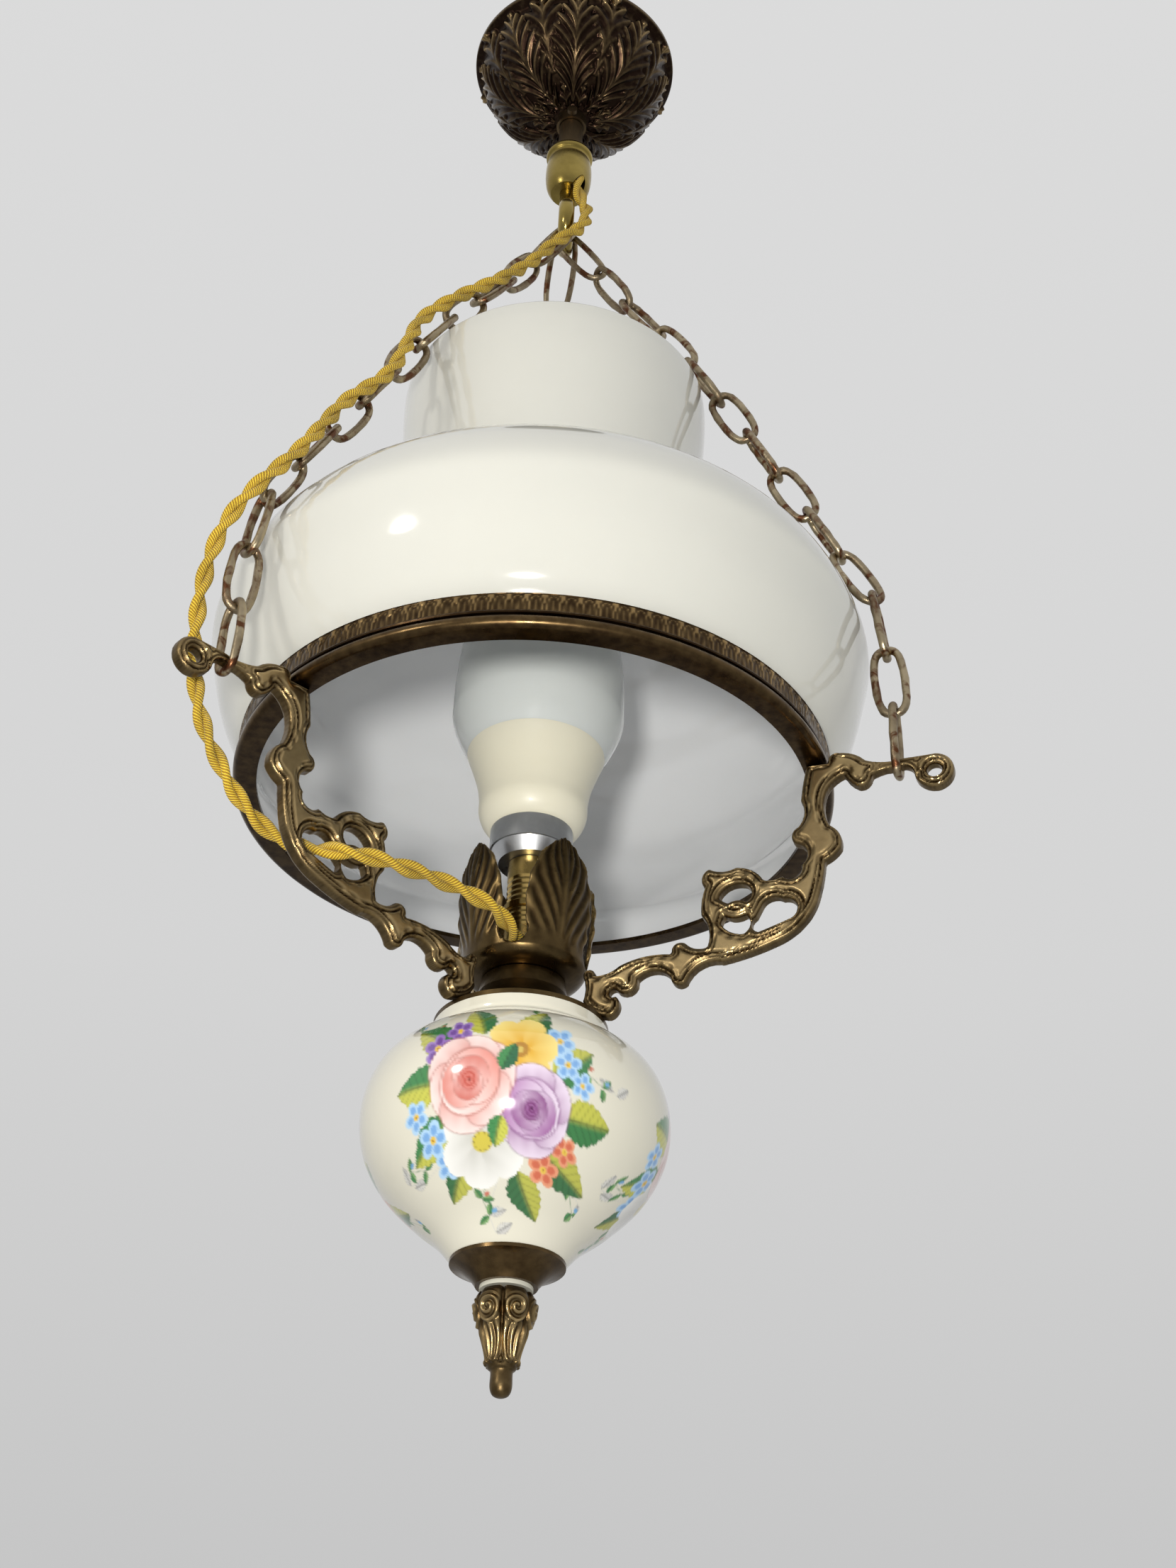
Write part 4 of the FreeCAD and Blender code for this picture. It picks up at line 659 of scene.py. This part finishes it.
# %% Brush strokes
class Canvas:
    # Paints on the points of one piece: x round it and y up it, in mm from a bouquet's middle.
    def __init__(self, x, y, colour):
        self.x, self.y, self.colour = x, y, colour

    def lay(self, mask, tone):
        mask = np.clip(mask, 0, 1)[:, None]
        self.colour[:] = self.colour * (1 - mask) + np.broadcast_to(tone, self.colour.shape) * mask

    def local(self, cx, cy, turn=0.0):
        c, s = math.cos(math.radians(turn)), math.sin(math.radians(turn))
        dx, dy = self.x - cx, self.y - cy
        return dx * c + dy * s, -dx * s + dy * c

    def blob(self, cx, cy, a, b, turn, tone, strength=1.0, edge=0.5):
        u, v = self.local(cx, cy, turn)
        self.lay(soft((1 - np.sqrt((u / a) ** 2 + (v / b) ** 2)) * min(a, b), edge) * strength, tone)

    def petal(self, cx, cy, reach, wide, turn, base, rim, edge=0.5):
        # A petal from its root at cx, cy, darker at the root and pale at its rim.
        u, v = self.local(cx, cy, turn)
        up = np.clip(u / reach, 0, 1)
        half = wide * np.sqrt(np.clip(1 - (1.9 * up - 0.95) ** 2, 0, 1)) * (0.55 + 0.45 * up)
        mask = soft(half - np.abs(v), edge) * (u > 0) * (u < reach)
        streak = 0.12 * np.cos(v / wide * 9.0) * (1 - up)
        base, rim = np.array(base), np.array(rim)
        tone = base + (rim - base) * np.clip(up ** 1.3 + streak, 0, 1)[:, None]
        self.lay(mask, tone)

    def leaf(self, cx, cy, reach, wide, turn, dark, light, bend=0.0):
        u, v = self.local(cx, cy, turn)
        v = v - bend * np.clip(u / reach, 0, 1) ** 2 * reach
        up = np.clip(u / reach, 0, 1)
        half = wide * np.sin(math.pi * up ** 0.8) ** 0.85 * (1 + 0.06 * np.cos(up * 44))
        mask = soft(half - np.abs(v), 0.45) * (u > 0) * (u < reach)
        side = soft(v + 0.25 * wide, 0.5 * wide)
        side_veins = (up * 7 - np.abs(v) / wide * 1.6) % 1 - 0.5
        vein = np.exp(-(v / 0.28) ** 2) + 0.55 * np.exp(-(side_veins / 0.13) ** 2)
        tone = np.array(dark) * (1 - side)[:, None] + np.array(light) * side[:, None]
        rim = soft(0.7 - (half - np.abs(v)), 0.6)
        tone = tone * (1 - 0.45 * np.clip(vein + 0.5 * rim, 0, 1)[:, None])
        self.lay(mask, tone)

    def cup(self, cx, cy, a, b, turn, low, high):
        # One rolled petal seen from outside: deep at its foot, pale at its rim, with brushed streaks.
        u, v = self.local(cx, cy, turn)
        r = np.hypot(u / a, v / b)
        side = np.clip(0.5 + 0.5 * u / a + 0.10 * np.cos(11 * v / b) * (1 - r), 0, 1)
        tone = np.array(low) * (1 - side)[:, None] + np.array(high) * side[:, None]
        self.lay(soft((1.09 - r) * min(a, b), 0.7) * 0.55, np.array(low) * 0.62)
        self.lay(soft((1 - r) * min(a, b), 0.35), tone)

    def rose(self, cx, cy, size, turn, deep, middle, pale):
        # Loose outer petals, then a cup of rolled petals that close round a dark heart.
        deep, middle, pale = np.array(deep), np.array(middle), np.array(pale)
        for k in range(6):
            a = math.radians(turn + 60 * k)
            reach = (0.60, 0.52, 0.62, 0.50, 0.58, 0.54)[k] * size
            self.cup(cx + reach * math.cos(a), cy + reach * math.sin(a), 0.40 * size, 0.56 * size,
                     turn + 60 * k, middle * 0.6 + deep * 0.4, pale)
        self.cup(cx, cy, 0.66 * size, 0.62 * size, turn + 200, middle, pale)
        rolled = ((0.14, 0.52, 0.56, 0), (0.16, 0.44, 0.48, 150), (0.10, 0.38, 0.40, 35),
                  (0.08, 0.30, 0.33, 215), (0.04, 0.22, 0.25, 80))
        for k, (out, a, b, way) in enumerate(rolled):
            way += turn + 200
            along = math.radians(way)
            share = k / len(rolled)
            self.cup(cx - out * size * math.cos(along), cy - out * size * math.sin(along),
                     a * size, b * size, way, deep * share + middle * (1 - share),
                     pale * (1 - 0.5 * share) + middle * 0.5 * share)
        u, v = self.local(cx, cy, turn)
        r, t = np.hypot(u, v), np.arctan2(v, u)
        swirl = 0.5 + 0.5 * np.cos(2 * math.pi * (r / (0.085 * size)) - 1.0 * t)
        tone = deep * (1 - 0.6 * swirl)[:, None] + middle * (0.6 * swirl)[:, None]
        self.lay(soft(0.27 * size - r, 2.0) * 0.95, tone)
        self.blob(cx, cy, 0.05 * size, 0.05 * size, 0, deep * 0.5)

    def small_flower(self, cx, cy, size, turn, tone, rim):
        for k in range(5):
            a = math.radians(turn + 72 * k)
            for out, long, wide, paint, strength in ((0.55, 0.46, 0.40, rim, 1.0),
                                                     (0.48, 0.30, 0.26, tone, 0.8)):
                self.blob(cx + out * size * math.cos(a), cy + out * size * math.sin(a), long * size,
                          wide * size, math.degrees(a), paint, strength)
        self.blob(cx, cy, 0.24 * size, 0.24 * size, 0, (0.75, 0.50, 0.06))
        self.blob(cx, cy, 0.10 * size, 0.10 * size, 0, (0.30, 0.12, 0.02))

    def stroke(self, points, width, tone):
        points = np.array(points, float)
        near = np.full(len(self.x), 1e9)
        for a, b in zip(points, points[1:]):
            along = b - a
            dx, dy = self.x - a[0], self.y - a[1]
            t = np.clip((dx * along[0] + dy * along[1]) / (along @ along), 0, 1)
            near = np.minimum(near, np.hypot(dx - t * along[0], dy - t * along[1]))
        self.lay(soft(width - near, 0.5) * 0.9, tone)


# %% [markdown]
# ## Painting the bouquets
# The bouquet is laid out round two roses, a pink one high on the left and a purple one low on the
# right. A yellow flower sits above them and a pale open one below, small ones fill the gaps between
# the leaves, and loose sprigs with grey shadow sprigs behind them lead the eye outwards.

# %% Three bouquets
GREEN, LIME, DEEP_GREEN = (0.05, 0.24, 0.07), (0.56, 0.56, 0.08), (0.02, 0.13, 0.05)
BLUE, PALE_BLUE = (0.13, 0.32, 0.66), (0.42, 0.63, 0.84)
VIOLET, PALE_VIOLET = (0.13, 0.05, 0.26), (0.30, 0.17, 0.50)
ORANGE, PALE_ORANGE = (0.56, 0.09, 0.04), (0.74, 0.30, 0.16)
SPRIGS = (((-12, 15), (-20, 22), (-27, 24)), ((8, 18), (12, 26), (10, 32)),
          ((19, 6), (28, 9), (34, 6)), ((15, -14), (22, -22), (24, -29)),
          ((-14, -12), (-24, -17), (-31, -16)), ((-2, -20), (-5, -28), (-3, -33)))
LEAVES = ((-16, 4, 18, 6.2, 172), (-14, -6, 17, 5.8, 208), (-8, -14, 16, 5.6, 238), (6, -20, 15, 5.2, 282),
          (14, -14, 17, 6.0, 318), (20, -4, 17, 6.2, 352), (17, 6, 16, 5.8, 28), (8, 15, 16, 5.4, 62),
          (-4, 18, 14, 5.0, 104), (-14, 14, 16, 5.6, 138))
SMALL_FLOWERS = (
    ((BLUE, PALE_BLUE), ((-20, -10, 5.6, 10), (-26, -3, 4.8, 50), (-15, -17, 5.0, 80), (22, 10, 5.0, 20),
                         (19, 17, 5.4, 60), (27, 5, 4.2, 0))),
    ((VIOLET, PALE_VIOLET), ((-19, 15, 5.4, 15), (-12, 20, 4.8, 40))),
    ((ORANGE, PALE_ORANGE), ((14, -19, 5.2, 5), (21, -13, 4.6, 45))),
)


def bouquet(c):
    for points in SPRIGS:
        far = [(x * 1.10 + 2.0, y * 1.10 - 1.5) for x, y in points]
        c.stroke(far, 0.35, (0.60, 0.59, 0.55))
        for x, y in far[1:]:
            c.leaf(x, y, 6.0, 1.7, 40 + 9 * x, (0.58, 0.57, 0.54), (0.66, 0.65, 0.60))
    for points in SPRIGS:
        c.stroke(points, 0.34, (0.10, 0.22, 0.10))
        for k, (x, y) in enumerate(points[1:]):
            for way in (20, 150):
                c.leaf(x, y, 4.2, 1.3, way + 80 * k + 5 * x, GREEN, (0.20, 0.40, 0.14))
            c.blob(x + 1.6, y + 1.4, 1.2, 0.9, 30, (0.16, 0.36, 0.60) if k else (0.55, 0.16, 0.10))
    for leaf in LEAVES:
        tint = 0.75 + 0.25 * math.sin(leaf[4])
        c.leaf(*leaf, np.array(GREEN) * tint, np.array(LIME) * (0.6 + 0.4 * tint), 0.12)
    for tones, flowers in SMALL_FLOWERS:
        for flower in flowers:
            c.small_flower(*flower, *tones)
    for k in range(6):
        c.petal(7, 13, 11.5, 6.2, 60 * k + 10, (0.70, 0.38, 0.02), (0.88, 0.72, 0.24))
    c.blob(7, 13, 3.0, 2.7, 0, (0.42, 0.20, 0.02))
    c.blob(7, 13, 1.5, 1.3, 0, (0.62, 0.46, 0.10))
    for k in range(6):
        c.petal(-4, -12, 13.0, 7.2, 60 * k + 25, (0.58, 0.57, 0.52), (0.88, 0.87, 0.83))
    c.blob(-4, -12, 3.4, 3.1, 0, (0.60, 0.50, 0.06))
    for k in range(10):
        c.blob(-4 + 2.6 * math.cos(k * 0.63), -12 + 2.4 * math.sin(k * 0.63), 0.5, 0.5, 0, (0.22, 0.16, 0.02))
    c.rose(11, -3, 13.0, 150, (0.15, 0.02, 0.13), (0.38, 0.15, 0.38), (0.79, 0.68, 0.80))
    c.rose(-8, 4.5, 14.5, 20, (0.48, 0.06, 0.04), (0.72, 0.27, 0.22), (0.88, 0.73, 0.69))
    c.leaf(2, -5, 9, 3.4, 250, GREEN, LIME, 0.1)
    c.leaf(2, 7, 9, 3.2, 70, DEEP_GREEN, GREEN, -0.1)


radius, height, angle = cylinder_places(drop)
heights, radii, lengths = along_line(outer)
up_the_side = -np.interp(height, heights, lengths)
BOUQUET_WIDE, BOUQUET_TALL, BOUQUET_MIDDLE = 1.18, 1.34, 0.43
middle = -np.interp(BODY_FOOT + BOUQUET_MIDDLE * BODY_H, heights, lengths)
ground = np.tile(np.array([0.72, 0.69, 0.57]), (len(radius), 1))
front_face = radius > np.interp(height, heights, radii) - 1.0
for azimuth in (-98.0, 12.0, 137.0):
    turn = (np.degrees(angle) - azimuth + 180) % 360 - 180
    near = front_face & (np.abs(turn) < 54)
    canvas = Canvas(np.radians(turn[near]) * radius[near] / BOUQUET_WIDE,
                    (up_the_side - middle)[near] / BOUQUET_TALL, ground[near])
    bouquet(canvas)
    ground[near] = canvas.colour
layer = drop.data.color_attributes.new("paint", "FLOAT_COLOR", "POINT")
layer.data.foreach_set("color", np.column_stack([ground, np.ones(len(ground))]).ravel())
print("bouquets painted on", len(ground), "points")


# %% [markdown]
# ## The cast finial
# The finial hangs below the bottom cup: scrolls round its shoulder, leaves that taper downwards, and
# a small round tip. Spirals and ribs are added as heights on the turned form, three times round.

# %% Finial
FINIAL_TOP, FINIAL_R, FINIAL_H, FINIAL_LOBES = BODY_FOOT - 9.0 - 1.6, 11.6, 38.4, 3
finial_shares = [
    (0.000, 1.000), (0.760, 1.000), (0.900, 0.975), (0.985, 0.925), (1.000, 0.860), (0.975, 0.800),
    (0.930, 0.740), (0.780, 0.620), (0.640, 0.490), (0.560, 0.400), (0.530, 0.340), (0.560, 0.300),
    (0.430, 0.262), (0.345, 0.230), (0.345, 0.100), (0.270, 0.030), (0.120, 0.003), (0.000, 0.000),
]
line = smooth_line([(FINIAL_R * r, FINIAL_TOP - FINIAL_H + FINIAL_H * z) for r, z in finial_shares], 180)
line[:, 0] = np.maximum(line[:, 0], 0)
finial = spun("Cast_finial", line, 240, cast_brass, None, 60)
radius, height, angle = cylinder_places(finial)
up = (height - FINIAL_TOP + FINIAL_H) / FINIAL_H
lobe = (angle / (2 * math.pi) * FINIAL_LOBES + 0.30) % 1 - 0.5
sides = np.abs(lobe) * 2
u, v = (sides - 0.50) * FINIAL_R, (up - 0.78) * FINIAL_H
spiral_r, spiral_t = np.hypot(u, v), np.arctan2(v, u)
spiral = spiral_r / 2.7 - spiral_t / (2 * math.pi)
volute = (0.5 + 0.5 * np.cos(2 * math.pi * spiral)) * soft(6.2 - spiral_r, 1.4)
sway = 0.20 * np.sin(math.pi * (up - 0.30) / 0.42)
ribs = 0.5 + 0.5 * np.cos(2 * math.pi * (3.0 * (sides + sway)))
flow = ribs * soft(0.70 - up, 0.12) * soft(up - 0.28, 0.05)
gap = np.exp(-((sides - 1) / 0.12) ** 2) * soft(up - 0.30, 0.08)
gap += np.exp(-(sides / 0.07) ** 2) * soft(up - 0.5, 0.2)
leaf_tip = soft(0.36 - up, 0.06) * soft(up - 0.27, 0.02) * (0.5 + 0.5 * np.cos(4 * math.pi * sides))
lift = 1.3 * volute * soft(0.99 - up, 0.03) + 1.1 * flow - 1.1 * gap + 0.8 * leaf_tip
scale_in = soft(up - 0.26, 0.03) * soft(radius - 3.0, 1.0)
emboss(finial, (lift - 0.8) * 0.85 * scale_in, 0.42 + 0.4 * volute + 0.4 * flow - 0.5 * gap * scale_in)
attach(finial, "lamp")
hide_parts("finial")


# %% [markdown]
# ## The lamp in the lampholder
# The lamp has a cream moulded base and a milky globe that shows through the open bottom of the dome.
# Both are spun again from their outlines so that their sides are round.

# %% Lamp globe and base
HOLDER_TOP, SEAT_GAP, COLLAR_H, BASE_H, BASE_R = RING_Z - 27.6, 0.3, 15.3, 38.0, 28.9
GLOBE_R, GLOBE_H, GLOBE_WALL, BOARD_DROP = 36.5, 91.0, 1.2, 1.5
LAMP_FOOT = HOLDER_TOP + SEAT_GAP + COLLAR_H
BASE_TOP = LAMP_FOOT + BASE_H
base_shares = [(0.560, 0.000), (0.640, 0.040), (0.720, 0.120), (0.775, 0.240), (0.785, 0.420),
               (0.830, 0.620), (0.920, 0.840), (1.000, 1.000)]
base_outer = smooth_line([(BASE_R * r, LAMP_FOOT + BASE_H * z) for r, z in base_shares], 70)
board_edge = [(BASE_R - 2.0, BASE_TOP), (BASE_R - 2.0, BASE_TOP - BOARD_DROP), (0, BASE_TOP - BOARD_DROP)]
base_wall = np.vstack([base_outer, board_edge, [(0, LAMP_FOOT)]])
lamp_base = spun("Moulded_base", base_wall, 160, cream_plastic, "bulb")
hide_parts("lamp_base")
globe_shares = [(0.780, 0.000), (0.900, 0.090), (0.985, 0.180), (1.000, 0.260), (0.985, 0.480),
                (0.930, 0.640), (0.780, 0.820), (0.500, 0.950), (0.250, 0.988), (0.000, 1.000)]
globe_outer = smooth_line([(GLOBE_R * r, BASE_TOP + GLOBE_H * z) for r, z in globe_shares], 110)
globe_inner = inward(globe_outer, GLOBE_WALL)
globe_inner[0, 1] = BASE_TOP
globe_inner[-1, 0] = 0
globe_wall = np.vstack([globe_outer, globe_inner[::-2], globe_inner[:1]])
globe = spun("Milky_globe", globe_wall, 160, globe_glass, "bulb")
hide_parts("lamp_globe")


# %% [markdown]
# ## The silk flex
# The flex is two silk covered cords twisted round each other. Its middle line is a smooth curve by
# the same corners as the measured one: from the knob, along the left chain, past the ring and into
# the leaf cup. Two strands are then wound round that line.

# %% Route of the flex
KNOB_FOOT = -104.0
top_route = [(5.0, -5.6, 8.0), (5.0, -5.6, -6.0), (10.5, -8.65, -18.8)]
main_route = [
    (9.5, -15.0, 338.4), (2.5, -19.5, 327.4), (-6.5, -25.0, 312.4),
    (-14.5, -29.5, 294.4), (-30.0, -41.5, 267.4), (-47.0, -51.0, 245.4), (-63.0, -59.0, 221.4),
    (-66.0, -69.0, 194.4), (-72.0, -76.0, 166.9), (-87.0, -85.5, 144.4), (-95.0, -93.5, 118.9),
    (-103.5, -101.0, 95.4), (-115.5, -105.5, 75.4), (-126.5, -102.5, 56.9), (-131.0, -98.5, 33.9),
    (-132.0, -93.0, 11.9), (-130.0, -89.0, -7.6), (-125.0, -84.0, -25.6), (-117.5, -78.5, -38.6),
    (-109.5, -70.5, -49.5), (-92.0, -59.5, -62.0), (-66.0, -70.3, -68.5), (-46.0, -61.0, -68.6),
    (-33.5, -53.0, -68.4), (-22.0, -46.0, -69.3), (-11.5, -38.5, -71.1), (-4.5, -22.0, -72.2),
    (-1.0, -5.5, -72.4),
]
corners = [(x, y, KNOB_FOOT + z) for x, y, z in top_route] + [(x, y, RING_Z + z) for x, y, z in main_route]
route = bpy.data.curves.new("Flex route", "CURVE")
route.dimensions = "3D"
route.resolution_u = 24
line = route.splines.new("NURBS")
line.points.add(len(corners) - 1)
for point, corner in zip(line.points, corners):
    point.co = (*(value * MM for value in corner), 1)
line.order_u = 3
line.use_endpoint_u = True
route_object = bpy.data.objects.new("Flex route", route)
bpy.context.scene.collection.objects.link(route_object)
bpy.context.view_layer.update()
traced = bpy.data.meshes.new_from_object(route_object.evaluated_get(bpy.context.evaluated_depsgraph_get()))
path = np.array([vertex.co for vertex in traced.vertices])
bpy.data.objects.remove(route_object)
path_steps = np.r_[0, np.cumsum(np.linalg.norm(np.diff(path, axis=0), axis=1))]
flex_length = path_steps[-1]
print("flex length in metres:", round(flex_length, 4))


# %% Two twisted strands
FLEX_R = 3.45 * MM
STRAND_R = FLEX_R / 2
PITCH, STATION, AROUND = 0.030, 0.0011, 14
WEAVE_STEP, WEAVE_TURNS = 0.62, 4.0
stations = np.arange(0, flex_length, STATION)
centre = np.column_stack([np.interp(stations, path_steps, path[:, k]) for k in range(3)])
kernel = np.hanning(9) / np.hanning(9).sum()
padded_line = np.vstack([centre[:1]] * 4 + [centre] + [centre[-1:]] * 4)
centre = np.column_stack([np.convolve(padded_line[:, k], kernel, "valid") for k in range(3)])
tangent = np.gradient(centre, axis=0)
tangent /= np.linalg.norm(tangent, axis=1)[:, None]
side_way = np.zeros_like(tangent)
side_way[0] = np.cross(tangent[0], (0, 1, 0))
for k in range(1, len(tangent)):
    side_way[k] = side_way[k - 1] - tangent[k] * (side_way[k - 1] @ tangent[k])
    side_way[k] /= np.linalg.norm(side_way[k])
side_way[0] /= np.linalg.norm(side_way[0])
other_way = np.cross(tangent, side_way)
vertices, faces, strand_uv = [], [], []
last = len(stations) - 1
for strand in range(2):
    start = len(vertices)
    phase = 2 * math.pi * stations / PITCH + math.pi * strand
    out = side_way * np.cos(phase)[:, None] + other_way * np.sin(phase)[:, None]
    core = centre + out * (STRAND_R * 0.98)
    for k in range(len(stations)):
        for j in range(AROUND):
            a = 2 * math.pi * j / AROUND
            round_way = side_way[k] * math.cos(a) + other_way[k] * math.sin(a)
            vertices.append(core[k] + round_way * STRAND_R * 1.01)
    for k in range(last):
        for j in range(AROUND):
            ring_a, ring_b = start + k * AROUND, start + (k + 1) * AROUND
            nxt = (j + 1) % AROUND
            faces.append((ring_a + j, ring_a + nxt, ring_b + nxt, ring_b + j))
            strand_uv.append([(k, j), (k, j + 1), (k + 1, j + 1), (k + 1, j)])
    faces.append(tuple(start + j for j in reversed(range(AROUND))))
    strand_uv.append([(0, j) for j in range(AROUND)])
    faces.append(tuple(start + last * AROUND + j for j in range(AROUND)))
    strand_uv.append([(last, j) for j in range(AROUND)])
flex_mesh = bpy.data.meshes.new("Silk flex")
flex_mesh.from_pydata([tuple(v) for v in vertices], [], faces)
uv_layer = flex_mesh.uv_layers.new(name="strand")
flat = [(k * WEAVE_STEP, j / AROUND * WEAVE_TURNS) for corner_set in strand_uv for k, j in corner_set]
uv_layer.data.foreach_set("uv", np.array(flat).ravel())
flex = bpy.data.objects.new("Silk_flex", flex_mesh)
bpy.context.scene.collection.objects.link(flex)
dress(flex, silk, None, 60)
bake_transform(flex)
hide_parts("cord_top", "cord")


# %% [markdown]
# ## Finishes for the remaining solids
# The small turned and hidden pieces keep their measured shape, and get the finish of their kind.

# %% Finishes by piece
CAST_WEAR = 0.48
finishes = {
    "ceiling_hook": steel, "stem_loop": yellow_brass, "stem_tube": stem_brass, "hook_knob": yellow_brass,
    "chain_hook": yellow_brass, "canopy_collar": stem_brass, "collar_screw": stem_brass,
    "terminal_block": white_plastic, "terminal_screws": steel, "cup_neck": leaf_brass,
    "bottom_cup": dark_brass, "bottom_gasket": gasket_rubber,
    "threaded_rod": yellow_brass, "cup_nut": yellow_brass, "lampholder_body": holder_brass,
    "lampholder_ring": holder_brass, "lampholder_collars": holder_brass, "lampholder_base": holder_brass,
    "lampholder_core": white_plastic, "lampholder_sleeve": holder_brass, "lampholder_contact": holder_brass,
    "lamp_cap": aluminium, "lamp_cap_insulator": black_glass, "lamp_cap_contact": aluminium,
    "lamp_collar": aluminium, "lamp_board": aluminium,
}
replaced = {
    "glass_shade": opal_glass, "gallery_ring": dark_brass, "canopy": canopy_brass, "leaf_cup": leaf_brass,
    "porcelain_body": porcelain, "finial": cast_brass, "lamp_base": cream_plastic, "lamp_globe": globe_glass,
    "cord": silk, "cord_top": silk, "arm_right": cast_brass, "arm_left": cast_brass, "arm_back": cast_brass,
    "chain_right": chain_metal, "chain_left": chain_metal, "chain_back": chain_metal,
}
for node, finish in {**finishes, **replaced}.items():
    solid = frame_node(node)
    solid.data.materials.clear()
    solid.data.materials.append(finish)
    if finish in (dark_brass, canopy_brass, leaf_brass, cast_brass):
        mark_wear_and_painted_light(solid, np.full(len(solid.data.vertices), CAST_WEAR))
print("finishes given to", len(finishes) + len(replaced), "solids")


# %% [markdown]
# ## Light, room and camera
# Soft studio lamps light the brass from both sides, a pale world shows behind the lamp and in its
# reflections, and the camera looks up at it from the height and the angle of the photograph.

# %% World and floor
world = bpy.data.worlds.new("Pale studio")
bpy.context.scene.world = world
world.use_nodes = True
tree = world.node_tree
tree.nodes.clear()
output = tree.nodes.new("ShaderNodeOutputWorld")
seen = tree.nodes.new("ShaderNodeBackground")
way = tree.nodes.new("ShaderNodeSeparateXYZ")
tree.links.new(tree.nodes.new("ShaderNodeTexCoord").outputs["Generated"], way.inputs[0])
upness = sums(tree, "MULTIPLY", sums(tree, "ADD", way.outputs["Z"], 1.0), 0.5)
wall_stops = [(0.30, grey(0.30)), (0.58, grey(0.54)), (0.74, grey(0.66)), (1.0, grey(0.74))]
wall_tone = ramp(tree, upness, wall_stops)
tree.links.new(wall_tone, seen.inputs["Color"])
seen.inputs["Strength"].default_value = 1.0
unseen = tree.nodes.new("ShaderNodeBackground")
unseen.inputs["Color"].default_value = (0.81, 0.82, 0.84, 1)
unseen.inputs["Strength"].default_value = 0.50
rays = tree.nodes.new("ShaderNodeLightPath")
shown = sums(tree, "MAXIMUM", rays.outputs["Is Camera Ray"], rays.outputs["Is Transmission Ray"])
shown = sums(tree, "MAXIMUM", shown, rays.outputs["Is Glossy Ray"])
choice = tree.nodes.new("ShaderNodeMixShader")
tree.links.new(shown, choice.inputs[0])
tree.links.new(unseen.outputs[0], choice.inputs[1])
tree.links.new(seen.outputs[0], choice.inputs[2])
tree.links.new(choice.outputs[0], output.inputs["Surface"])

bpy.ops.object.select_all(action="DESELECT")
bpy.ops.mesh.primitive_plane_add(size=9.0, location=(0, 0, -1.55))
floor = bpy.context.object
floor.name = "Pale_floor"
FLOOR_TONE, FLOOR_GLOW = (0.80, 0.80, 0.79), 0.22
floor_finish, tree, shader = new_finish("Pale floor", FLOOR_TONE, 0.0, 0.8)
rays = tree.nodes.new("ShaderNodeLightPath")
shader.inputs["Emission Color"].default_value = (*FLOOR_TONE, 1)
glow = sums(tree, "MULTIPLY", rays.outputs["Is Camera Ray"], FLOOR_GLOW)
tree.links.new(glow, shader.inputs["Emission Strength"])
floor.data.materials.append(floor_finish)


LIT_POINT = Vector((0, 0, -0.42))


def soft_lamp(name, place, size, power, colour=(1, 1, 1)):
    # Only the small lamps show in the metal and the glaze.
    light = bpy.data.lights.new(name, "AREA")
    light.shape = "DISK"
    light.size = size
    light.energy = power
    light.color = colour
    thing = bpy.data.objects.new(name, light)
    thing.location = place
    thing.rotation_euler = (LIT_POINT - Vector(place)).to_track_quat("-Z", "Y").to_euler()
    thing.visible_glossy = size < 0.5
    bpy.context.scene.collection.objects.link(thing)


soft_lamp("Lamp by the viewer", (-0.10, -0.86, -0.96), 0.10, 6.2, (1.0, 0.98, 0.94))
soft_lamp("Small lamp from the left", (-0.70, -0.75, -0.30), 0.12, 1.6, (1.0, 0.97, 0.92))
soft_lamp("Wide lamp from the left", (-1.1, -0.9, -0.7), 0.9, 2.6, (1.0, 0.98, 0.95))
soft_lamp("Wide lamp from the right", (1.2, -0.8, -0.9), 0.9, 2.4, (0.96, 0.98, 1.0))
soft_lamp("Lamp behind", (-0.5, 1.2, 0.25), 0.8, 3.0)


# %% Camera
FOCAL_PX, HEIGHT_PX, SENSOR = 3009.6, 2212, 36.0
VIEWER_Y, VIEWER_DROP = -0.7384, 484.68
pitch, roll, yaw = (math.radians(value) for value in (34.05, 2.24, 1.73))
forward = Vector((math.sin(yaw) * math.cos(pitch), math.cos(yaw) * math.cos(pitch), math.sin(pitch)))
level = Vector((math.cos(yaw), -math.sin(yaw), 0))
over = level.cross(forward)
right = level * math.cos(roll) + over * math.sin(roll)
upward = over * math.cos(roll) - level * math.sin(roll)
lens = bpy.data.cameras.new("Viewer")
lens.sensor_fit = "AUTO"
lens.sensor_width = SENSOR
lens.lens = FOCAL_PX / HEIGHT_PX * SENSOR
viewer = bpy.data.objects.new("Viewer", lens)
turn = Matrix((right, upward, -forward)).transposed().to_4x4()
viewer.matrix_world = Matrix.Translation((0, VIEWER_Y, (RING_Z - VIEWER_DROP) * MM)) @ turn
bpy.context.scene.collection.objects.link(viewer)
bpy.context.scene.camera = viewer
bpy.context.scene.view_settings.view_transform = "Standard"
